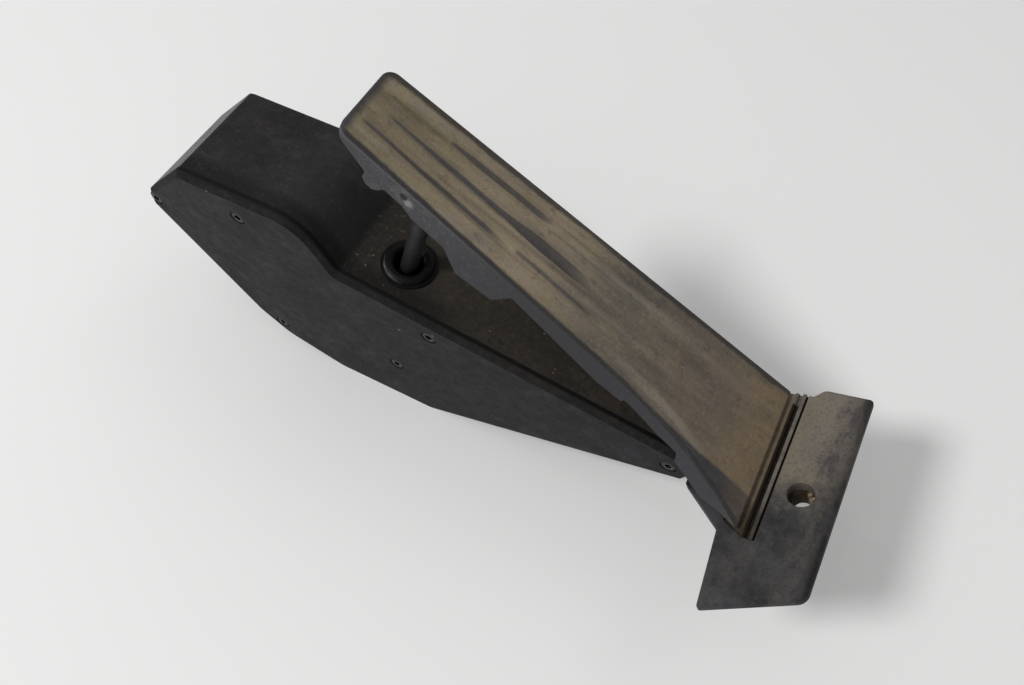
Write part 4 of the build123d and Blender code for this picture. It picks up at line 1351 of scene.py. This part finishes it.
@dataclass(frozen=True)
class HingeFinish(Finish):
    """Flexible strip that is dusty up to its fold and on its raised lip, with a dark trough between."""

    dirt: Colour = (0.016, 0.01, 0.0055)
    dust: Colour = (0.15, 0.132, 0.112)
    fold: Colour = (0.16, 0.124, 0.084)
    smoother: float = 0.0
    rougher: float = 0.1
    cloud: Cloud = Cloud(4 * MM, 6.0, 0.7)
    dirty: Layer = Layer(dirt, 0.4, 0.65)
    shade: Ramp = Ramp(-12 * MM, 4 * MM, 0.3, 1.0)
    dusty_fold: Layer = Layer(fold, -13.75 * MM, -14.25 * MM)
    fold_powder: Ramp = Ramp(0.35, 0.6, 0.75, 1.0)
    lip_level: Ramp = Ramp(8.3 * MM, 8.8 * MM)
    lip_along: Ramp = Ramp(-11.8 * MM, -11.5 * MM)
    lip_powder: Ramp = Ramp(0.3, 0.62, 0.5, 1.0)
    dusty_end: Layer = Layer(dust, 40.5 * MM, 42 * MM, 0.6)
    end_along: Ramp = Ramp(-11.4 * MM, -11.6 * MM)

    def paint(self, graph: Graph, looks: Looks, tone: Socket) -> tuple[Socket, Socket]:
        """Colours the fold, the trough and the lip.

        Args:
            graph: the material's graph.
            looks: the shared effects and planes.
            tone: the slow change of tone from 0 to 1.

        Returns:
            The colour and the roughness.
        """
        place = looks.laid(graph, Lay.HEEL)
        along, across, level = graph.axes(place)
        cloud = self.cloud.on(graph, place)
        shade = self.shade.on(graph, across)
        colour = self.dirty.over(graph, self.colour, cloud)
        colour = self.dusty_fold.over(graph, colour, along, self.fold_powder.on(graph, cloud), shade)
        lip = graph.both(self.lip_level.on(graph, level), self.lip_along.on(graph, along))
        colour = graph.coat(colour, self.dust, lip, self.lip_powder.on(graph, cloud), shade)
        colour = self.dusty_end.over(graph, colour, across, self.end_along.on(graph, along))
        return colour, self.roughness(graph, tone)


@dataclass(frozen=True)
class RubberFinish(Finish):
    """Black rubber with dust lodged on the side that faces the cover and the nose, laid pale enough to paint a
    highlight there too.
    """

    # dust colour, also painting a highlight on the side it lies on
    dust: Colour = (0.145, 0.14, 0.137)
    smoother: float = 0.0
    rougher: float = 0.3
    cloud: Cloud = Cloud(2.2 * MM, 6.0, 0.76)
    cloudy: Ramp = Ramp(0.44, 0.62, 0.3, 1.0)
    lean_x: float = -0.6
    lean_y: float = -0.75
    dust_and_highlight_side: Ramp = Ramp(0.42, 0.88)
    upper: Ramp = Ramp(0.0, 0.35)

    def paint(self, graph: Graph, looks: Looks, tone: Socket) -> tuple[Socket, Socket]:
        """Colours the rubber and its dust, which also paints a highlight.

        Args:
            graph: the material's graph.
            looks: the shared effects and planes; not used.
            tone: the slow change of tone from 0 to 1.

        Returns:
            The colour and the roughness.
        """
        rightward, inward, upward = graph.axes(graph.facing())
        inward_lean = graph.calc("MULTIPLY", inward, self.lean_y)
        lean = graph.calc("MULTIPLY_ADD", rightward, self.lean_x, inward_lean)
        # Dust and a painted highlight on the side that faces the cover and the nose.
        side = graph.both(self.dust_and_highlight_side.on(graph, lean), self.upper.on(graph, upward))
        film = graph.both(side, self.cloudy.on(graph, self.cloud.on(graph, graph.coords())))
        colour = graph.mix(film, graph.mix(tone, self.colour, self.pale), self.dust)
        return colour, self.roughness(graph, film)


@dataclass(frozen=True)
class RustFinish(Finish):
    """Plated sleeve that is brown with rust, with a bright brassy patch as a painted glint on the side that faces
    the heel.
    """

    rust: Colour = (0.046, 0.032, 0.021)
    rust_rough: float = 0.9
    spots: Cloud = Cloud(1.6 * MM, 5.0, 0.7)
    spotted: Ramp = Ramp(0.6, 0.44)
    # painted glint on the side that faces the heel
    glint_side: Ramp = Ramp(0.4 * MM, 2.0 * MM)

    def paint(self, graph: Graph, looks: Looks, tone: Socket) -> tuple[Socket, Socket]:
        """Colours the metal, its rust and its painted glint.

        Args:
            graph: the material's graph.
            looks: the shared effects and planes.
            tone: the slow change of tone from 0 to 1.

        Returns:
            The colour and the roughness.
        """
        place = looks.laid(graph, Lay.HEEL)
        along = graph.axes(place)[0]
        spots = self.spotted.on(graph, self.spots.on(graph, place))
        # Painted glint: a bright brassy patch on the side that faces the heel, broken by rust spots.
        painted_glint = graph.both(spots, self.glint_side.on(graph, along))
        colour = graph.mix(painted_glint, self.rust, graph.mix(tone, self.colour, self.pale))
        return colour, graph.scale(painted_glint, self.rust_rough, self.rough)


@dataclass(frozen=True)
class ScrewFinish(Finish):
    """Dark screw head, rubbed bright along its edges, which also paints their glint, and near black in its socket,
    with dirt and painted shade.
    """

    bright: Colour = (0.5, 0.5, 0.51)
    dirt: Colour = (0.003, 0.003, 0.003)
    worn_reach: float = 0.35 * MM
    worn_amount: float = 1.0
    smoother: float = 0.0
    rougher: float = -0.1
    worn_glint_share: float = 0.8
    socket_dark: Layer = Layer(dirt, 0.35 * MM, 0.8 * MM)

    def paint(self, graph: Graph, looks: Looks, tone: Socket) -> tuple[Socket, Socket]:
        """Colours the head, its rubbed edges with their painted glint, and the socket below them, laid near black
        as dirt and painted shade.

        Args:
            graph: the material's graph.
            looks: the shared effects and planes.
            tone: the slow change of tone from 0 to 1.

        Returns:
            The colour and the roughness.
        """
        place = looks.laid(graph, Lay.PART)
        depth = graph.axes(place)[1]
        rubbed = self.rubbed(graph, looks, place)
        colour = graph.mix(tone, self.colour, self.pale)
        # Rubbed edges, laid bright enough to also paint their glint as a highlight.
        colour = graph.coat(colour, self.bright, rubbed, self.worn_glint_share)
        # The socket is laid near black: dirt packed there, and painted shade.
        colour = self.socket_dark.over(graph, colour, depth)
        return colour, self.roughness(graph, rubbed)


@dataclass(frozen=True)
class BoardFinish(Finish):
    """Lacquered board with paler tracks under the lacquer."""

    track: Colour = (0.1, 0.33, 0.16)
    smoother: float = 0.0
    rougher: float = 0.1
    track_pitch: float = 9 * MM
    track_share: float = 0.035
    track_shift: float = 0.5

    def paint(self, graph: Graph, looks: Looks, tone: Socket) -> tuple[Socket, Socket]:
        """Colours the lacquer and the tracks below it.

        Args:
            graph: the material's graph.
            looks: the shared effects and planes; not used.
            tone: the slow change of tone from 0 to 1.

        Returns:
            The colour and the roughness.
        """
        tracks = graph.add("TexBrick", offset=self.track_shift)
        turned = graph.add("Mapping", vector_type="POINT")
        graph.feed(turned.inputs["Vector"], graph.coords())
        turned.inputs["Rotation"].default_value = (SQUARE, 0, 0)
        graph.feed(tracks.inputs["Vector"], turned.outputs[0])
        tracks.inputs["Scale"].default_value = 1.0 / self.track_pitch
        tracks.inputs["Mortar Size"].default_value = self.track_share
        lines = tracks.outputs["Fac"]
        colour = graph.mix(lines, graph.mix(tone, self.colour, self.pale), self.track)
        return colour, self.roughness(graph, lines)


BLACK = HousingFinish(
    "housing_black", (0.009, 0.0081, 0.0082), (0.0188, 0.017, 0.0174), rough=0.66, gloss=0.18
)
COVER = CoverFinish("cover_grey", (0.0084, 0.008, 0.0098), (0.0132, 0.0126, 0.015), rough=0.62, gloss=0.18)
TREAD = TreadFinish("pedal_grey", (0.052, 0.051, 0.055), (0.075, 0.073, 0.078), rough=0.7, gloss=0.2)
STRIP = HingeFinish("hinge_black", (0.007, 0.0055, 0.004), (0.018, 0.014, 0.01), rough=0.72, gloss=0.12)
SCREW = Finish("screw_steel", (0.1, 0.1, 0.105), (0.32, 0.32, 0.33), rough=0.4, metallic=1.0, gloss=0.5)
DARK_SCREW = ScrewFinish("dark_screw", (0.009, 0.009, 0.0095), (0.03, 0.03, 0.031), rough=0.45, metallic=0.5)
SLEEVE = RustFinish("sleeve_steel", (0.2, 0.14, 0.08), (0.5, 0.37, 0.22), rough=0.45, metallic=0.6, gloss=0.3)
SOCKET = Finish("socket_black", (0.022, 0.022, 0.024), (0.034, 0.034, 0.036), rough=0.42)
ROD = Finish("rod_black", (0.014, 0.014, 0.015), (0.028, 0.027, 0.027), rough=0.5, gloss=0.25)
RUBBER = RubberFinish("grommet_rubber", (0.003, 0.003, 0.0034), (0.007, 0.0067, 0.0066), rough=0.5, gloss=0.1)
LEVER = Finish("lever_black", (0.022, 0.022, 0.024), (0.036, 0.036, 0.038), rough=0.5)
SHAFT = Finish("shaft_steel", (0.5, 0.5, 0.52), (0.66, 0.66, 0.68), rough=0.25, metallic=1.0, gloss=0.5)
BUSH = Finish("bush_bronze", (0.42, 0.27, 0.12), (0.58, 0.4, 0.2), rough=0.45, metallic=1.0, gloss=0.5)
SPRING = Finish("spring_steel", (0.2, 0.2, 0.21), (0.38, 0.38, 0.4), rough=0.35, metallic=1.0, gloss=0.5)
SHOE = Finish("shoe_tan", (0.28, 0.2, 0.11), (0.38, 0.28, 0.17), rough=0.55)
STOP = Finish("stop_rubber", (0.018, 0.018, 0.019), (0.03, 0.03, 0.03), rough=0.7)
ROTOR = Finish("rotor_grey", (0.2, 0.2, 0.21), (0.27, 0.27, 0.28), rough=0.45)
MAGNET = Finish("magnet_dark", (0.07, 0.07, 0.075), (0.12, 0.12, 0.125), rough=0.5, metallic=0.6)
BOARD = BoardFinish("board_green", (0.03, 0.15, 0.06), (0.045, 0.2, 0.085), rough=0.35, gloss=0.5)
CHIP = Finish("chip_black", (0.015, 0.015, 0.016), (0.026, 0.026, 0.027), rough=0.55)
PIN = Finish("pin_tin", (0.5, 0.49, 0.46), (0.68, 0.67, 0.63), rough=0.3, metallic=1.0, gloss=0.5)


def dress(piece: bpy.types.Object, finish: Finish, looks: Looks) -> None:
    """Gives a piece a finish in place of the one it came with.

    Args:
        piece: the piece or CAD node.
        finish: the finish to make, or to share if it was made before.
        looks: the shared effects and planes.
    """
    made = bpy.data.materials.get(finish.name + ".look") or finish.material(looks)
    made.name = finish.name + ".look"
    if not piece.material_slots:
        piece.data.materials.append(made)
    for slot in piece.material_slots:
        slot.material = made
    LOG.info("dressed %s in %s", piece.name, finish.name)


def new_piece(name: str, shape: bmesh.types.BMesh) -> bpy.types.Object:
    """Turns a finished bmesh into a piece, which a caller may then join to its body.

    Args:
        name: the piece's name.
        shape: the mesh, in metres in the frame; it is freed.

    Returns:
        The new piece.
    """
    bmesh.ops.recalc_face_normals(shape, faces=shape.faces)
    mesh = bpy.data.meshes.new(name)
    shape.to_mesh(mesh)
    shape.free()
    piece = bpy.data.objects.new(name, mesh)
    bpy.context.scene.collection.objects.link(piece)
    LOG.info("built %s with %d faces", name, len(mesh.polygons))
    return piece


def islands(node: str) -> list[tuple[Vector, Vector]]:
    """Finds the separate solids of a CAD node.

    Args:
        node: the node's name.

    Returns:
        The lowest and highest corner of each solid, in order along X.
    """
    shape = bmesh.new()
    shape.from_mesh(frame["nodes"][node].data)
    bmesh.ops.remove_doubles(shape, verts=shape.verts, dist=WELD)
    left = set(shape.verts)
    boxes = []
    while left:
        queue = [left.pop()]
        group = list(queue)
        while queue:
            here = queue.pop()
            near = {edge.other_vert(here) for edge in here.link_edges}
            fresh = [vert for vert in near if vert in left]
            left.difference_update(fresh)
            queue.extend(fresh)
            group.extend(fresh)
        low = Vector([min(vert.co[axis] for vert in group) for axis in range(3)])
        high = Vector([max(vert.co[axis] for vert in group) for axis in range(3)])
        boxes.append((low, high))
    shape.free()
    return sorted(boxes, key=lambda box: box[0].x)


@dataclass
class StarScrews:
    """The pan-head screws of the cover, each with a six-lobed socket."""

    lobes: int = 6
    sides: int = 36
    rim: float = 0.55 * MM
    crown: float = 0.35 * MM
    socket_r: float = 1.75 * MM
    lobe_depth: float = 0.72
    socket_depth: float = 1.1 * MM
    shank_r: float = 1.5 * MM
    head_height: float = 1.8 * MM
    notch_below: float = -0.4
    spin_rate: float = 40.0

    def screw(self, shape: bmesh.types.BMesh, radius: float, length: float, place: Matrix) -> None:
        """Models one head and its shank, facing up the Z axis of its place.

        Args:
            shape: the mesh to add to.
            radius: the head's radius.
            length: the whole length from the top of the head.
            place: where the top of the head goes.
        """
        before = set(shape.verts)
        made = bmesh.ops.create_circle(shape, cap_ends=True, segments=self.sides, radius=radius)
        cap = made["verts"][0].link_faces[0]
        bmesh.ops.translate(shape, verts=made["verts"], vec=(0, 0, -self.crown))
        bmesh.ops.inset_region(shape, faces=[cap], use_boundary=True, thickness=self.rim, depth=self.crown)
        border = [edge for edge in shape.edges if edge.is_boundary]
        inner = radius - self.rim - self.socket_r
        bmesh.ops.inset_region(shape, faces=[cap], thickness=inner, depth=0)
        turns = {vert: self.lobes * math.atan2(vert.co.y, vert.co.x) for vert in cap.verts}
        notches = [vert for vert, turn in turns.items() if math.cos(turn) < self.notch_below]
        bmesh.ops.scale(shape, verts=notches, vec=(self.lobe_depth, self.lobe_depth, 1))
        sunk = bmesh.ops.extrude_face_region(shape, geom=[cap])
        floor = [item for item in sunk["geom"] if isinstance(item, bmesh.types.BMVert)]
        bmesh.ops.translate(shape, verts=floor, vec=(0, 0, -self.socket_depth))
        if cap.is_valid:
            bmesh.ops.delete(shape, geom=[cap], context="FACES_ONLY")
        skirt = bmesh.ops.extrude_edge_only(shape, edges=border)
        hem = [item for item in skirt["geom"] if isinstance(item, bmesh.types.BMVert)]
        bmesh.ops.translate(shape, verts=hem, vec=(0, 0, self.crown - self.head_height))
        loop = [item for item in skirt["geom"] if isinstance(item, bmesh.types.BMEdge)]
        loop = [edge for edge in loop if all(vert in hem for vert in edge.verts)]
        base = bmesh.ops.contextual_create(shape, geom=loop)["faces"]
        bmesh.ops.inset_region(shape, faces=base, thickness=radius - self.shank_r, depth=0)
        stem = bmesh.ops.extrude_face_region(shape, geom=base)
        tip = [item for item in stem["geom"] if isinstance(item, bmesh.types.BMVert)]
        bmesh.ops.translate(shape, verts=tip, vec=(0, 0, self.head_height - length))
        for face in base:
            if face.is_valid:
                bmesh.ops.delete(shape, geom=[face], context="FACES_ONLY")
        added = [vert for vert in shape.verts if vert not in before]
        bmesh.ops.transform(shape, matrix=place, verts=added)

    def build(self) -> bpy.types.Object:
        """Models all the screws where the CAD screws are.

        Returns:
            The piece that stands for them.
        """
        shape = bmesh.new()
        for low, high in islands("cover_screws"):
            centre = (low + high) / 2
            turn = Matrix.Rotation(SQUARE, 4, "X")
            spin = Matrix.Rotation(centre.x * self.spin_rate, 4, "Z")
            place = Matrix.Translation((centre.x, low.y, centre.z)) @ turn @ spin
            self.screw(shape, (high.x - low.x) / 2, high.y - low.y, place)
        return new_piece("star_screws", shape)


@dataclass
class SubAssembly:
    """Some of the part's nodes, each with its finish."""

    nodes: dict[str, Finish] = field(default_factory=dict)

    def dress(self, looks: Looks) -> None:
        """Dresses the nodes.

        Args:
            looks: the shared effects and planes.
        """
        for node, finish in self.nodes.items():
            dress(frame["nodes"][node], finish, looks)


@dataclass
class Housing(SubAssembly):
    """The housing with its cover, screws, hinge strip, sleeve and grommet."""

    screws: StarScrews = field(default_factory=StarScrews)
    nodes: dict[str, Finish] = field(
        default_factory=lambda: {
            "housing_body": BLACK,
            "side_cover": COVER,
            "cover_screws": DARK_SCREW,
            "heel_sleeve": SLEEVE,
            "hinge_strip": STRIP,
            "rod_grommet": RUBBER,
        }
    )

    def build(self, looks: Looks) -> None:
        """Models the detailed screws.

        Args:
            looks: the shared effects and planes.
        """
        piece = self.screws.build()
        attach(piece, "housing")
        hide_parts("cover_screws")
        dress(piece, DARK_SCREW, looks)


@dataclass
class Pedal(SubAssembly):
    """The tread with the socket under it."""

    nodes: dict[str, Finish] = field(default_factory=lambda: {"pedal_plate": TREAD, "rod_socket": SOCKET})


@dataclass
class Works(SubAssembly):
    """The rod, the lever and the sensor, most of it inside the housing."""

    springs: tuple[str, ...] = ("outer_return_spring", "inner_return_spring")
    nodes: dict[str, Finish] = field(
        default_factory=lambda: {
            "push_rod": ROD,
            "lever": LEVER,
            "lever_shaft": SHAFT,
            "near_bush": BUSH,
            "far_bush": BUSH,
            "outer_return_spring": SPRING,
            "inner_return_spring": SPRING,
            "friction_shoe": SHOE,
            "idle_stop": STOP,
            "sensor_rotor": ROTOR,
            "rotor_magnets": MAGNET,
            "sensor_board": BOARD,
            "field_sensors": CHIP,
            "board_screws": SCREW,
            "contact_pins": PIN,
        }
    )

    def build(self, looks: Looks) -> None:
        """Makes the return springs, which run between the floor and the lever, again as pieces of their own, and
        hides their nodes.

        Args:
            looks: the shared effects and planes.
        """
        for node in self.springs:
            shape = bmesh.new()
            shape.from_mesh(frame["nodes"][node].data)
            piece = new_piece(f"bending_{node}", shape)
            dress(piece, SPRING, looks)
            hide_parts(node)
            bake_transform(piece)


@dataclass(frozen=True)
class Lamp:
    """One round soft lamp that looks at the middle of the table."""

    name: str
    place: tuple[float, float, float]
    power: float
    size: float

    def hang(self) -> None:
        """Hangs the lamp over the table."""
        lamp = bpy.data.lights.new(self.name, "AREA")
        lamp.shape = "DISK"
        lamp.size = self.size
        lamp.energy = self.power
        hung = bpy.data.objects.new(self.name, lamp)
        hung.location = self.place
        hung.rotation_euler = (-Vector(self.place)).to_track_quat("-Z", "Y").to_euler()
        bpy.context.scene.collection.objects.link(hung)


@dataclass
class Studio:
    """The pale table, the soft light and the camera of the photograph."""

    lens: float = 29.43
    near_clip: float = 10 * MM
    eye_from_hinge: Vector = field(default_factory=lambda: Vector((-28.02, -149.3, 282.75)) * MM)
    azimuth: float = math.radians(27.6)
    elevation: float = math.radians(58.9)
    floor_half: float = 3.0
    floor_colour: Colour = (0.83, 0.83, 0.825)
    floor_rough: float = 0.7
    floor_gloss: float = 0.2
    sky: float = 0.5
    lamps: tuple[Lamp, ...] = (
        Lamp("key", (-1.05, -1.05, 1.72), power=28.0, size=0.5),
        Lamp("back", (0.9, 1.0, 1.9), power=2.0, size=0.9),
    )

    def floor(self) -> None:
        """Lays the table."""
        shape = bmesh.new()
        bmesh.ops.create_grid(shape, x_segments=1, y_segments=1, size=self.floor_half)
        mesh = bpy.data.meshes.new("table")
        shape.to_mesh(mesh)
        shape.free()
        table = bpy.data.objects.new("table", mesh)
        bpy.context.scene.collection.objects.link(table)
        made = bpy.data.materials.new("table_white")
        made.use_nodes = True
        shader = made.node_tree.nodes["Principled BSDF"]
        shader.inputs["Base Color"].default_value = (*self.floor_colour, 1.0)
        shader.inputs["Roughness"].default_value = self.floor_rough
        shader.inputs["Specular IOR Level"].default_value = self.floor_gloss
        mesh.materials.append(made)

    def lights(self) -> None:
        """Hangs the lamps and sets an even sky."""
        world = bpy.data.worlds.new("studio")
        world.use_nodes = True
        world.node_tree.nodes["Background"].inputs["Color"].default_value = (1.0, 1.0, 1.0, 1.0)
        world.node_tree.nodes["Background"].inputs["Strength"].default_value = self.sky
        bpy.context.scene.world = world
        for lamp in self.lamps:
            lamp.hang()

    def camera(self) -> None:
        """Sets the camera where the photograph was taken."""
        right = Vector((math.cos(self.azimuth), math.sin(self.azimuth), 0))
        back = Vector((math.sin(self.azimuth), -math.cos(self.azimuth), 0)) * math.cos(self.elevation)
        back.z = math.sin(self.elevation)
        up = back.cross(right)
        view = bpy.data.cameras.new("photo")
        view.lens = self.lens
        view.sensor_fit = "HORIZONTAL"
        view.clip_start = self.near_clip
        stand = bpy.data.objects.new("photo", view)
        turn = Matrix((right, up, back)).transposed().to_4x4()
        eye = joint_place("pedal_hinge") + self.eye_from_hinge
        stand.matrix_world = Matrix.Translation(eye) @ turn
        bpy.context.scene.collection.objects.link(stand)
        bpy.context.scene.camera = stand

    def build(self) -> None:
        """Sets up the whole studio."""
        bpy.context.scene.view_settings.view_transform = "Standard"
        self.floor()
        self.lights()
        self.camera()


def main() -> None:
    """Dresses the pedal and sets it on the table."""
    logging.basicConfig(level=logging.INFO, format="%(name)s: %(message)s")
    Studio().build()
    looks = Looks(Effects())
    housing = Housing()
    housing.build(looks)
    housing.dress(looks)
    Pedal().dress(looks)
    works = Works()
    works.build(looks)
    works.dress(looks)


if __name__ == "__main__":
    main()
